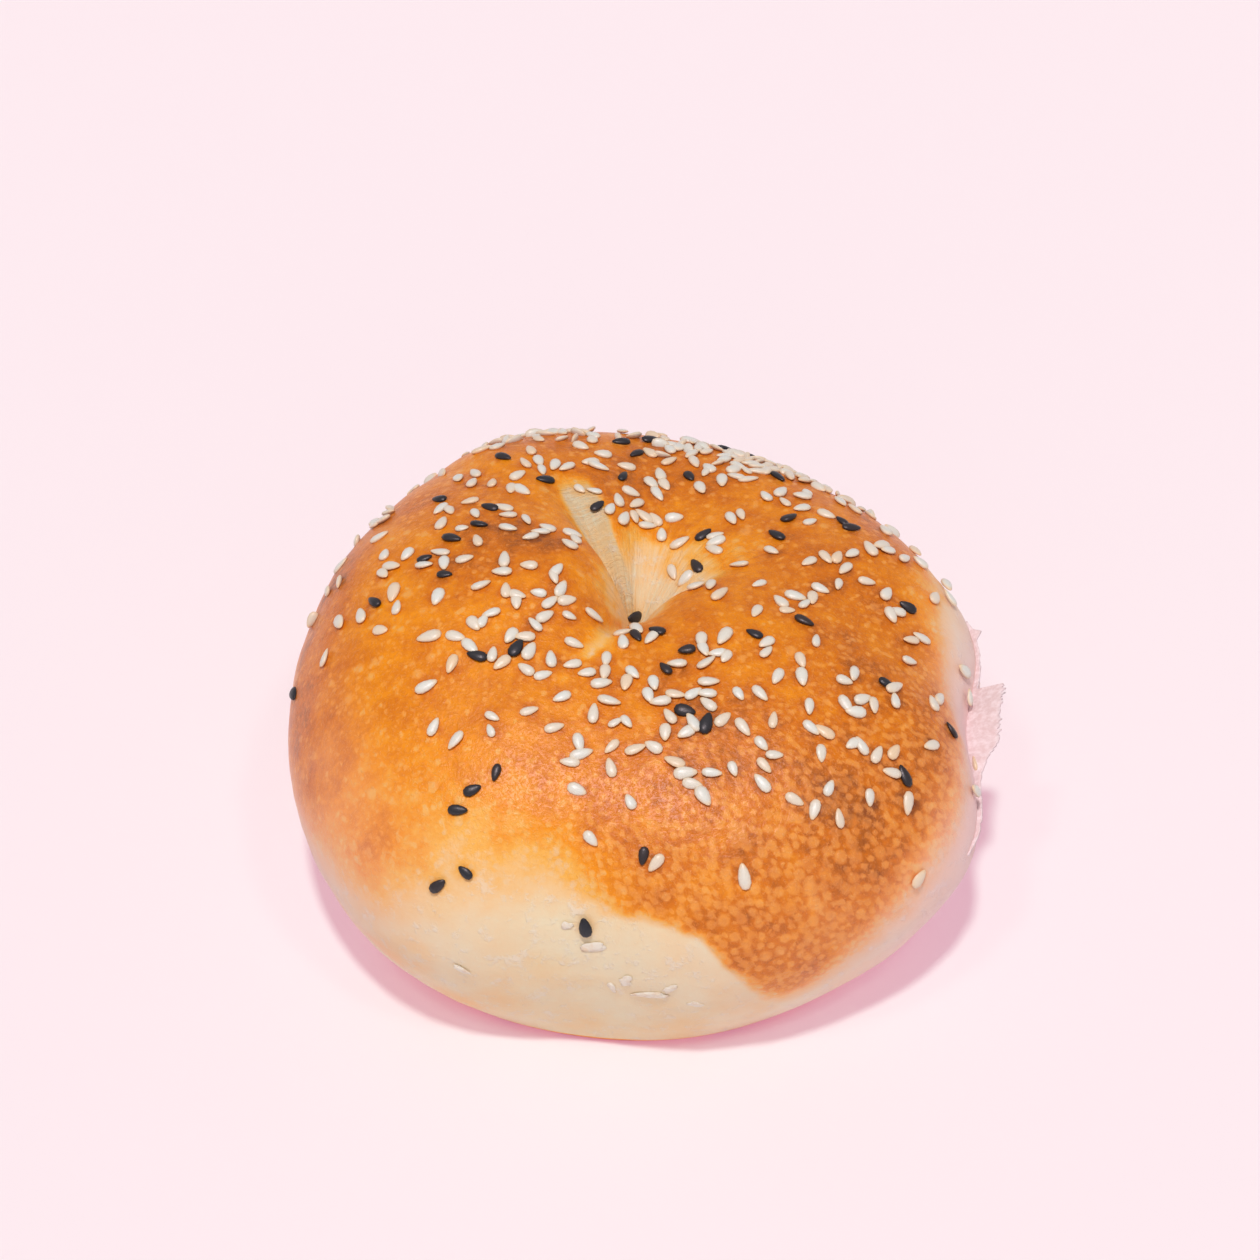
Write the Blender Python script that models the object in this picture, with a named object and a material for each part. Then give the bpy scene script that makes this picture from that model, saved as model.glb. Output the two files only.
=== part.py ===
"""A plump sesame bagel lying on its base, its hole closed to a puckered dimple.

The whole bagel is one solid. Its skin is a ring of dough worked out from an azimuth, counted from +X
towards +Y, and a station: 0 in the navel of the dimple, 1 on the crest, 2 on the widest line and 3 where
the base meets the table. The seeds are scattered by handfuls and fused to the skin. Lengths are in metres.
"""

import math

import bmesh
import bpy
import numpy as np
from mathutils import Matrix, Vector

MM = 0.001

# The ring of dough; its middle lies a little off the origin, so that the whole bagel is centred there
RING_CENTRE = (-1.8 * MM, -5.4 * MM)
WIDEST_RADIUS = 57.0 * MM
WIDEST_HEIGHT = 23.4 * MM
CREST_HEIGHT = 50.5 * MM
BASE_RADIUS = 43.0 * MM
CROWN_FULLNESS = 2.29
BELLY_FULLNESS = 1.51

# Slow waves round the ring: number of waves, and how much each adds along its cosine and its sine
OUTLINE_WAVES = (
    (1, 1.1 * MM, 2.8 * MM),
    (2, 1.0 * MM, -0.5 * MM),
    (3, 1.5 * MM, -1.4 * MM),
    (4, 0.1 * MM, -0.2 * MM),
)
CREST_WAVES = ((1, -2.3 * MM, -1.4 * MM), (2, 1.6 * MM, -1.0 * MM))
WIDEST_HEIGHT_WAVES = ((1, 0.2 * MM, 3.0 * MM),)

# The crest sags a little behind the dimple
SADDLE_AZIMUTH = 84.0
SADDLE_WIDTH = 22.0
SADDLE_DEPTH = 1.3 * MM

# Two sides are flattened where they baked against a neighbour: azimuth, width in degrees, and depth
PRESSED_SIDES = ((-4.9, 14.8, 6.8 * MM), (260.0, 18.4, 4.8 * MM))

# The dimple: on one side a funnel, on the other side two lobes of dough that crowd its navel.
# The navel's place is counted from the ring's middle.
NAVEL = (0.0, 8.0 * MM, 35.0 * MM)
FUNNEL_RADIUS = 21.0 * MM
LOBE_RADIUS = 12.5 * MM
LOBE_ROUNDNESS = 0.6
FUNNEL_START = 14.0
FUNNEL_START_BLUR = 11.0
FUNNEL_END = 126.0
FUNNEL_END_BLUR = 4.5
FOLD_AZIMUTH = 117.0
FOLD_WIDTH = 8.0
FOLD_DEPTH = 2.0 * MM
RIDGE_AZIMUTH = 98.0
RIDGE_WIDTH = 9.0
RIDGE_RISE = 0.9 * MM
CREASE_AZIMUTH = 249.0
CREASE_WIDTH = 12.0
CREASE_DEPTH = 2.4 * MM

# The underside
UNDER_DIMPLE_RADIUS = 13.0 * MM
UNDER_DIMPLE_DEPTH = 3.5 * MM

# The mesh of the dough
AZIMUTH_STEPS = 64
WALL_STEPS = 6
CROWN_STEPS = 9
BELLY_STEPS = 6
UNDER_STEPS = 4
FIRST_STATION = 0.12
SHARP_ANGLE = 50.0

# The torn skin on the right: where along the side it tears, and how far it stands out there
TEAR_START = -25.0
TEAR_END = 18.0
TEAR_STEPS = 24
TEAR_STATION = 1.885
TEAR_SLOPE = 0.0025
TEAR_CORNER = 4.4
TEAR_FOOT = -6.5
TEAR_REACH = 4.9 * MM
TEAR_TAIL = 4.5
TEAR_SPIKE_AZIMUTH = 15.5
TEAR_SPIKE = 1.2 * MM
TEAR_RAGGEDNESS = 0.45 * MM
TEAR_ROOT = 1.2 * MM
TEAR_THICKNESS = 0.9 * MM
TEAR_EDGE_THICKNESS = 0.45 * MM
TEAR_RISE = 0.35

# The seeds
SEED_LENGTH = 3.1 * MM
SEED_WIDTH = 1.85 * MM
SEED_THICKNESS = 0.95 * MM
SEED_TAPER = 0.28
SEED_SIDES = 6
SEED_RINGS = 3
SEED_SINK = 0.18
SEED_SIZE_SPREAD = 0.08
SEED_SPACING = 0.62
SEED_LEAN = 0.16
HEAP_LIFT = 0.55
HIGHEST_STATION = 0.25
LOWEST_STATION = 2.05
STATION_LENGTH = 45.0 * MM
SCATTER_SEED = 20
TRIES = 60

# Colours in linear light, and roughness
CRUST_COLOUR = (0.72, 0.32, 0.06, 1.0)
CRUST_ROUGHNESS = 0.45
WHITE_SEED_COLOUR = (0.78, 0.72, 0.60, 1.0)
WHITE_SEED_ROUGHNESS = 0.35
BLACK_SEED_COLOUR = (0.02, 0.022, 0.028, 1.0)
BLACK_SEED_ROUGHNESS = 0.4


class Handful:
    """Seeds dropped round one place on the skin."""

    def __init__(self, azimuth, station, reach, white, black):
        self.azimuth = azimuth
        self.station = station
        self.reach = reach
        self.white = white
        self.black = black


HANDFULS = (
    Handful(12, 1.29, 8 * MM, 10, 1),
    Handful(33, 1.23, 8 * MM, 6, 2),
    Handful(52, 1.25, 7 * MM, 7, 3),
    Handful(68, 1.36, 6 * MM, 16, 4),
    Handful(90, 1.28, 7 * MM, 12, 2),
    Handful(110, 1.12, 7 * MM, 10, 4),
    Handful(130, 1.26, 7 * MM, 7, 1),
    Handful(150, 1.24, 7 * MM, 10, 4),
    Handful(170, 1.27, 8 * MM, 8, 1),
    Handful(190, 1.30, 9 * MM, 7, 1),
    Handful(210, 1.13, 6 * MM, 10, 2),
    Handful(228, 1.15, 7 * MM, 8, 0),
    Handful(250, 1.20, 8 * MM, 10, 0),
    Handful(270, 1.27, 8 * MM, 13, 2),
    Handful(291, 1.32, 8 * MM, 13, 3),
    Handful(313, 1.39, 8 * MM, 18, 1),
    Handful(332, 1.32, 8 * MM, 10, 2),
    Handful(354, 1.45, 9 * MM, 12, 3),
)

# Black seeds that lie apart from the handfuls: in the dimple, and on the bare left and lower side
LONE_BLACK_SEEDS = (
    Handful(90, 0.19, 0.0, 0, 1),
    Handful(272, 0.93, 0.0, 0, 1),
    Handful(42, 0.65, 0.0, 0, 1),
    Handful(289, 0.90, 0.0, 0, 1),
    Handful(238, 1.42, 0.0, 0, 1),
    Handful(235, 1.48, 0.0, 0, 1),
    Handful(234, 1.54, 0.0, 0, 1),
    Handful(239, 1.69, 0.0, 0, 1),
    Handful(235, 1.75, 0.0, 0, 1),
    Handful(261, 1.83, 0.0, 0, 1),
    Handful(181, 1.81, 0.0, 0, 1),
)


def smooth_step(x):
    """0 below 0, 1 above 1, and a smooth rise between."""
    x = np.clip(x, 0.0, 1.0)
    return x * x * (3.0 - 2.0 * x)


def waves(azimuth, terms):
    return sum(c * np.cos(n * azimuth) + s * np.sin(n * azimuth) for n, c, s in terms)


def turn_from(azimuth, degrees):
    """How far an azimuth lies from a given one, in degrees from -180 to 180."""
    return (np.degrees(azimuth) - degrees + 180.0) % 360.0 - 180.0


def furrow(azimuth, degrees, width):
    return np.exp(-((turn_from(azimuth, degrees) / width) ** 2))


def funnel_share(azimuth):
    """1 in the part of the dimple that is a funnel, 0 in the part that the lobes crowd."""
    middle = (FUNNEL_START + FUNNEL_END) / 2.0
    half = (FUNNEL_END - FUNNEL_START) / 2.0
    turn = turn_from(azimuth, middle)
    start = smooth_step((turn + half + FUNNEL_START_BLUR) / (2.0 * FUNNEL_START_BLUR))
    end = smooth_step((half + FUNNEL_END_BLUR - turn) / (2.0 * FUNNEL_END_BLUR))
    return start * end


def dimple_folds(azimuth, station):
    """How far the fold, the ridge and the crease shift the dimple's wall up."""
    along = smooth_step(station / 0.35) * smooth_step((1.30 - station) / 0.45)
    near = smooth_step(station / 0.3) * smooth_step((1.12 - station) / 0.5)
    fold = -FOLD_DEPTH * furrow(azimuth, FOLD_AZIMUTH, FOLD_WIDTH) * along
    ridge = RIDGE_RISE * furrow(azimuth, RIDGE_AZIMUTH, RIDGE_WIDTH) * along
    crease = -CREASE_DEPTH * furrow(azimuth, CREASE_AZIMUTH, CREASE_WIDTH) * near
    return fold + ridge + crease


def skin(azimuth, station):
    """The point of the bagel's skin at an azimuth in radians and a station from 0 to 3."""
    azimuth = np.asarray(azimuth, float)
    station = np.asarray(station, float)
    widest = WIDEST_RADIUS + waves(azimuth, OUTLINE_WAVES)
    widest = widest - sum(depth * furrow(azimuth, turn, width) for turn, width, depth in PRESSED_SIDES)
    waist = WIDEST_HEIGHT + waves(azimuth, WIDEST_HEIGHT_WAVES)
    crest = CREST_HEIGHT + waves(azimuth, CREST_WAVES)
    crest = crest - SADDLE_DEPTH * furrow(azimuth, SADDLE_AZIMUTH, SADDLE_WIDTH)
    funnel = funnel_share(azimuth)
    mouth = LOBE_RADIUS + (FUNNEL_RADIUS - LOBE_RADIUS) * funnel

    inward = np.clip(station, 0.0, 1.0)
    steepness = LOBE_ROUNDNESS + (1.0 - LOBE_ROUNDNESS) * funnel
    wall = (1.0 - (1.0 - inward) ** 2) ** steepness
    over = np.clip(station - 1.0, 0.0, 1.0) * math.pi / 2.0
    under = np.clip(station - 2.0, 0.0, 1.0) * math.pi / 2.0
    round_over = 2.0 / CROWN_FULLNESS
    round_under = 2.0 / BELLY_FULLNESS

    wall_height = NAVEL[2] + (crest - NAVEL[2]) * wall
    crown_height = waist + (crest - waist) * np.clip(np.cos(over), 0.0, 1.0) ** round_over
    belly_height = waist * (1.0 - np.sin(under) ** round_under)
    crown_reach = mouth + (widest - mouth) * np.sin(over) ** round_over
    belly_reach = BASE_RADIUS + (widest - BASE_RADIUS) * np.clip(np.cos(under), 0.0, 1.0) ** round_under

    reach = np.where(station <= 1.0, mouth * inward, np.where(station <= 2.0, crown_reach, belly_reach))
    height = np.where(station <= 1.0, wall_height, np.where(station <= 2.0, crown_height, belly_height))
    height = height + dimple_folds(azimuth, station)
    pull = 1.0 - smooth_step(station - 1.0)
    x = RING_CENTRE[0] + NAVEL[0] * pull + reach * np.cos(azimuth)
    y = RING_CENTRE[1] + NAVEL[1] * pull + reach * np.sin(azimuth)
    return np.stack([x, y, height], axis=-1)


def skin_frame(azimuth, station):
    """A point of the skin, its outward normal, and the direction along the ring, as vectors."""
    step = 0.004
    point = skin(azimuth, station)
    along = skin(azimuth + step, station) - skin(azimuth - step, station)
    down = skin(azimuth, station + step) - skin(azimuth, station - step)
    normal = np.cross(down, along)
    return Vector(point), Vector(normal).normalized(), Vector(along).normalized()


def new_object(name, mesh_maker):
    mesh = bpy.data.meshes.new(name)
    maker = bmesh.new()
    mesh_maker(maker)
    maker.to_mesh(mesh)
    maker.free()
    piece = bpy.data.objects.new(name, mesh)
    bpy.context.scene.collection.objects.link(piece)
    return piece


def stations():
    """The rings of the mesh, from just outside the navel to the edge of the base."""
    wall = np.linspace(FIRST_STATION, 1.0, WALL_STEPS + 1)[:-1]
    crown = np.linspace(1.0, 2.0, CROWN_STEPS + 1)[:-1]
    belly = np.linspace(2.0, 3.0, BELLY_STEPS + 1)
    return np.concatenate([wall, crown, belly])


def underside_ring(azimuths, inward):
    """A ring of the underside: flat outside, and rising to the small dimple in its middle."""
    reach = BASE_RADIUS + (UNDER_DIMPLE_RADIUS - BASE_RADIUS) * min(inward, 1.0)
    if inward > 1.0:
        reach = UNDER_DIMPLE_RADIUS * (2.0 - inward)
    rise = UNDER_DIMPLE_DEPTH * smooth_step(max(inward - 1.0, 0.0))
    x, y = RING_CENTRE
    return [(x + reach * math.cos(a), y + reach * math.sin(a), float(rise)) for a in azimuths]


def make_dough(maker):
    azimuths = np.linspace(0.0, 2.0 * math.pi, AZIMUTH_STEPS, endpoint=False)
    loops = [[maker.verts.new(point) for point in skin(azimuths, station)] for station in stations()]
    for inward in np.linspace(0.0, 2.0, UNDER_STEPS + 1)[1:-1]:
        loops.append([maker.verts.new(point) for point in underside_ring(azimuths, inward)])
    for upper, lower in zip(loops, loops[1:]):
        for i in range(AZIMUTH_STEPS):
            j = (i + 1) % AZIMUTH_STEPS
            maker.faces.new((upper[j], upper[i], lower[i], lower[j]))
    navel = maker.verts.new(skin(0.0, 0.0))
    middle = maker.verts.new((*RING_CENTRE, UNDER_DIMPLE_DEPTH))
    for i in range(AZIMUTH_STEPS):
        j = (i + 1) % AZIMUTH_STEPS
        maker.faces.new((navel, loops[0][i], loops[0][j]))
        maker.faces.new((middle, loops[-1][j], loops[-1][i]))


def tear_reach(degrees, jitter):
    """How far the torn skin stands out of the side at an azimuth in degrees."""
    main = 0.0
    if degrees < TEAR_CORNER:
        main = TEAR_REACH * math.exp(-((max(0.0, TEAR_FOOT - degrees) / TEAR_TAIL) ** 2))
    spike = TEAR_SPIKE * max(0.0, 1.0 - abs(degrees - TEAR_SPIKE_AZIMUTH))
    return main + spike + TEAR_RAGGEDNESS * jitter


def tear_station(degrees):
    """The torn skin's root runs along the side, a little higher at the back than in front."""
    return TEAR_STATION - TEAR_SLOPE * degrees


def make_torn_skin(maker):
    """A thin ragged sheet, rooted in the dough, with its upper and its lower face."""
    chance = np.random.default_rng(SCATTER_SEED)
    sections = []
    for degrees in np.linspace(TEAR_START, TEAR_END, TEAR_STEPS + 1):
        root, normal, _ = skin_frame(math.radians(degrees), tear_station(degrees))
        outward = (normal + Vector((0.0, 0.0, TEAR_RISE))).normalized()
        reach = tear_reach(degrees, chance.uniform(0.0, 1.0))
        start = root - normal * TEAR_ROOT
        tip = root + outward * reach
        lift = Vector((0.0, 0.0, 1.0))
        corners = (
            start + lift * TEAR_THICKNESS / 2.0,
            start - lift * TEAR_THICKNESS / 2.0,
            tip - lift * TEAR_EDGE_THICKNESS / 2.0,
            tip + lift * TEAR_EDGE_THICKNESS / 2.0,
        )
        sections.append([maker.verts.new(corner) for corner in corners])
    for here, there in zip(sections, sections[1:]):
        for i in range(4):
            j = (i + 1) % 4
            maker.faces.new((here[i], here[j], there[j], there[i]))
    maker.faces.new(reversed(sections[0]))
    maker.faces.new(sections[-1])
    bmesh.ops.triangulate(maker, faces=maker.faces[:])
    bmesh.ops.recalc_face_normals(maker, faces=maker.faces[:])


def make_seed(maker):
    """One sesame seed lying along X: a flattened drop, blunt at one end and narrower at the other."""
    bmesh.ops.create_uvsphere(maker, u_segments=SEED_SIDES, v_segments=SEED_RINGS, radius=0.5)
    lie_down = Matrix.Rotation(math.pi / 2.0, 3, "Y")
    bmesh.ops.rotate(maker, verts=maker.verts[:], cent=(0, 0, 0), matrix=lie_down)
    for vert in maker.verts:
        x, y, z = vert.co
        narrow = 1.0 - SEED_TAPER * 2.0 * x
        vert.co = (x * SEED_LENGTH, y * SEED_WIDTH * narrow, z * SEED_THICKNESS * narrow)


def seed_places():
    """Where each seed lies, in the order in which they fall: its matrix and whether it is black."""
    chance = np.random.default_rng(SCATTER_SEED)
    falls = []
    for handful in HANDFULS + LONE_BLACK_SEEDS:
        falls += [(handful, False)] * handful.white + [(handful, True)] * handful.black
    order = chance.permutation(len(falls))
    placed = []
    for index in order:
        handful, black = falls[index]
        point, normal, along = drop(handful, placed, chance)
        turn = Matrix.Rotation(chance.uniform(0.0, 2.0 * math.pi), 3, normal)
        length = turn @ along
        lean = Matrix.Rotation(chance.normal(0.0, SEED_LEAN), 3, length)
        up = lean @ normal
        across = up.cross(length)
        axes = Matrix((length, across, up)).transposed()
        size = 1.0 + SEED_SIZE_SPREAD * chance.normal()
        nearest = min([(point - other).length for other, _, _ in placed], default=SEED_LENGTH)
        crowding = max(0.0, 1.0 - nearest / (SEED_SPACING * SEED_LENGTH))
        rest = SEED_THICKNESS * (0.5 - SEED_SINK + HEAP_LIFT * crowding)
        place = Matrix.Translation(point + normal * rest) @ axes.to_4x4() @ Matrix.Scale(size, 4)
        placed.append((point, place, black))
    return [(place, black) for _, place, black in placed]


def drop(handful, placed, chance):
    """A place near a handful's middle that is clear of earlier seeds, or the last one tried."""
    middle = math.radians(handful.azimuth)
    from_navel = Vector(skin(middle, handful.station)) - Vector(skin(0.0, 0.0))
    highest = min(HIGHEST_STATION, handful.station)
    for _ in range(TRIES):
        shift = chance.normal(0.0, handful.reach, 2)
        azimuth = middle + shift[0] / from_navel.xy.length
        station = min(max(handful.station + shift[1] / STATION_LENGTH, highest), LOWEST_STATION)
        point, normal, along = skin_frame(azimuth, station)
        if all((point - other).length > SEED_SPACING * SEED_LENGTH for other, _, _ in placed):
            break
    return point, normal, along


def fuse(body, pieces):
    """Joins the pieces to the body by one union on their collection, and removes them."""
    group = bpy.data.collections.new("toppings")
    for piece in pieces:
        group.objects.link(piece)
    union = body.modifiers.new("fuse toppings", "BOOLEAN")
    union.operation = "UNION"
    union.operand_type = "COLLECTION"
    union.collection = group
    union.solver = "EXACT"
    union.material_mode = "TRANSFER"
    bpy.context.view_layer.objects.active = body
    bpy.context.view_layer.update()
    with bpy.context.temp_override(object=body, active_object=body, selected_objects=[body]):
        bpy.ops.object.modifier_apply(modifier=union.name)
    for piece in pieces:
        bpy.data.objects.remove(piece)
    bpy.data.collections.remove(group)


def keep_largest_body(piece):
    """Drops loose scraps and the walls of sealed hollows, which are separate bodies of the mesh."""
    maker = bmesh.new()
    maker.from_mesh(piece.data)
    waiting = set(maker.verts)
    bodies = []
    while waiting:
        edge_of_body = [waiting.pop()]
        body = set(edge_of_body)
        while edge_of_body:
            vert = edge_of_body.pop()
            for edge in vert.link_edges:
                other = edge.other_vert(vert)
                if other in waiting:
                    waiting.remove(other)
                    body.add(other)
                    edge_of_body.append(other)
        bodies.append(body)
    largest = max(bodies, key=len)
    scraps = [vert for body in bodies if body is not largest for vert in body]
    bmesh.ops.delete(maker, geom=scraps, context="VERTS")
    maker.to_mesh(piece.data)
    maker.free()


def new_material(name, colour, roughness):
    material = bpy.data.materials.new(name)
    material.use_nodes = True
    shader = material.node_tree.nodes["Principled BSDF"]
    shader.inputs["Base Color"].default_value = colour
    shader.inputs["Roughness"].default_value = roughness
    shader.inputs["Metallic"].default_value = 0.0
    return material


def scatter_seeds():
    """The white and the black seeds, each where it fell."""
    white = new_object("white seed", make_seed)
    white.data.materials.append(new_material("white sesame", WHITE_SEED_COLOUR, WHITE_SEED_ROUGHNESS))
    black = new_object("black seed", make_seed)
    black.data.materials.append(new_material("black sesame", BLACK_SEED_COLOUR, BLACK_SEED_ROUGHNESS))
    seeds = []
    for place, is_black in seed_places():
        pattern = black if is_black else white
        seed = bpy.data.objects.new(pattern.name, pattern.data)
        seed.matrix_world = place
        bpy.context.scene.collection.objects.link(seed)
        seeds.append(seed)
    bpy.data.objects.remove(white)
    bpy.data.objects.remove(black)
    return seeds


def main():
    for old in list(bpy.data.objects):
        bpy.data.objects.remove(old)
    crust = new_material("golden crust", CRUST_COLOUR, CRUST_ROUGHNESS)
    bagel = new_object("bagel", make_dough)
    bagel.data.materials.append(crust)
    torn_skin = new_object("torn skin", make_torn_skin)
    torn_skin.data.materials.append(crust)
    fuse(bagel, [torn_skin, *scatter_seeds()])
    keep_largest_body(bagel)
    bagel.data.shade_smooth()
    bagel.data.set_sharp_from_angle(angle=math.radians(SHARP_ANGLE))


main()
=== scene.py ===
"""The looks of a plump sesame bagel, lying on its base with its dimple up.

The dough, its flake of torn skin, the two kinds of sesame seed and the crumbs of loose dough are pieces that
replace the bagel's one solid. The dough's skin is worked out from an azimuth, counted from +X towards +Y, and
a station: 0 in the navel of the dimple, 1 on the crest, 2 on the widest line and 3 where the base meets the
table. Lengths are in metres.
"""

from __future__ import annotations

import logging
import math
from dataclasses import dataclass, replace
from enum import Enum
from typing import Sequence

import bpy
import numpy as np
from mathutils import Matrix, Vector, noise
from mathutils.kdtree import KDTree

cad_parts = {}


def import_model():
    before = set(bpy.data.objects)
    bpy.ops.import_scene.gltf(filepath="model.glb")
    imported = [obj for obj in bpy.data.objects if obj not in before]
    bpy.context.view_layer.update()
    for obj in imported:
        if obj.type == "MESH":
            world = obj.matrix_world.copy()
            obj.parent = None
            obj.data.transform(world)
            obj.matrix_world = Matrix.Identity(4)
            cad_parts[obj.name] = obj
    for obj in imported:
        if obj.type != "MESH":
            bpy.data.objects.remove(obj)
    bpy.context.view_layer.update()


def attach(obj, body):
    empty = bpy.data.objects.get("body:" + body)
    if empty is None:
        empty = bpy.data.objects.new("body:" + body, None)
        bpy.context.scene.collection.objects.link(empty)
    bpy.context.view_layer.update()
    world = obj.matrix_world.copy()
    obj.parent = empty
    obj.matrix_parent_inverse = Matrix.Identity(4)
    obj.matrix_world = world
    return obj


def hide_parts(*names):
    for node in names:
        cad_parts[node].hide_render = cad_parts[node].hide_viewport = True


logging.basicConfig(level=logging.INFO, format="%(message)s")
LOG = logging.getLogger("bagel")

MM = 0.001
BASE_STATION = 3.0
BODY = "root"
NODE = "bagel"

Colour = tuple[float, float, float]

# Where a smooth rise starts and where it ends
Span = tuple[float, float]

# Waves round the ring: for each its count, and what it adds along its cosine and its sine
Waves = tuple[tuple[int, float, float], ...]

# Bells round the ring: for each its azimuth and its width in degrees, and its height
Bells = tuple[tuple[float, float, float], ...]

# The sockets of a Mix node that mixes colours
MIX_SHARE, MIX_LOW, MIX_HIGH, MIX_RESULT = 0, 6, 7, 2


def smooth_step(x: np.ndarray | float) -> np.ndarray:
    """Return 0 below 0, 1 above 1, and a smooth rise between."""
    x = np.clip(x, 0.0, 1.0)
    return x * x * (3.0 - 2.0 * x)


def ramp(x: np.ndarray, low: float, high: float) -> np.ndarray:
    """Return how far x has gone from low to high, smoothly, as 0 to 1."""
    return smooth_step((x - low) / (high - low))


def turn_from(azimuth: np.ndarray, degrees: np.ndarray | float) -> np.ndarray:
    """Return how far an azimuth in radians lies from a given one, in degrees from -180 to 180."""
    return (np.degrees(azimuth) - degrees + 180.0) % 360.0 - 180.0


def furrow(azimuth: np.ndarray, degrees: float, width: float) -> np.ndarray:
    """Return a bell round one azimuth, 1 in its middle."""
    return np.exp(-((turn_from(azimuth, degrees) / width) ** 2))


def bells(azimuth: np.ndarray, terms: Bells) -> np.ndarray:
    """Return the sum of bells round the ring."""
    return sum(height * furrow(azimuth, turn, width) for turn, width, height in terms)


def waves(azimuth: np.ndarray, terms: Waves) -> np.ndarray:
    """Return the sum of slow waves round the ring."""
    return sum(c * np.cos(n * azimuth) + s * np.sin(n * azimuth) for n, c, s in terms)


def deselect_all() -> None:
    """Leave nothing selected, so that an operator acts on new pieces alone."""
    bpy.ops.object.select_all(action="DESELECT")


def apply_modifier(piece: bpy.types.Object, modifier: bpy.types.Modifier) -> None:
    """Apply one modifier to its piece."""
    deselect_all()
    piece.select_set(True)
    bpy.context.view_layer.objects.active = piece
    bpy.ops.object.modifier_apply(modifier=modifier.name)


def read_points(mesh: bpy.types.Mesh) -> np.ndarray:
    """Return a mesh's vertices as an array of rows."""
    flat = np.empty(len(mesh.vertices) * 3)
    mesh.vertices.foreach_get("co", flat)
    return flat.reshape(-1, 3)


def write_points(mesh: bpy.types.Mesh, points: np.ndarray) -> None:
    """Put a mesh's vertices where the rows of an array say."""
    mesh.vertices.foreach_set("co", points.ravel())
    mesh.update()


def read_normals(mesh: bpy.types.Mesh) -> np.ndarray:
    """Return a mesh's vertex normals as an array of rows."""
    flat = np.empty(len(mesh.vertices) * 3)
    mesh.vertex_normals.foreach_get("vector", flat)
    return flat.reshape(-1, 3)


def join(pieces: list) -> bpy.types.Object:
    """Join pieces into the first of them."""
    deselect_all()
    for piece in pieces:
        piece.select_set(True)
    bpy.context.view_layer.objects.active = pieces[0]
    bpy.ops.object.join()
    return bpy.context.view_layer.objects.active


def noise_at(points: np.ndarray, size: float) -> np.ndarray:
    """Return smooth noise from about -1 to 1 at each point, with lumps of a size in metres."""
    return np.array([noise.noise(Vector(point)) for point in points / size])


def store(mesh: bpy.types.Mesh, name: str, values: np.ndarray) -> None:
    """Store one number for each vertex as a named attribute, which the finishes read."""
    attribute = mesh.attributes.new(name, "FLOAT", "POINT")
    attribute.data.foreach_set("value", values.astype(float))


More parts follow.
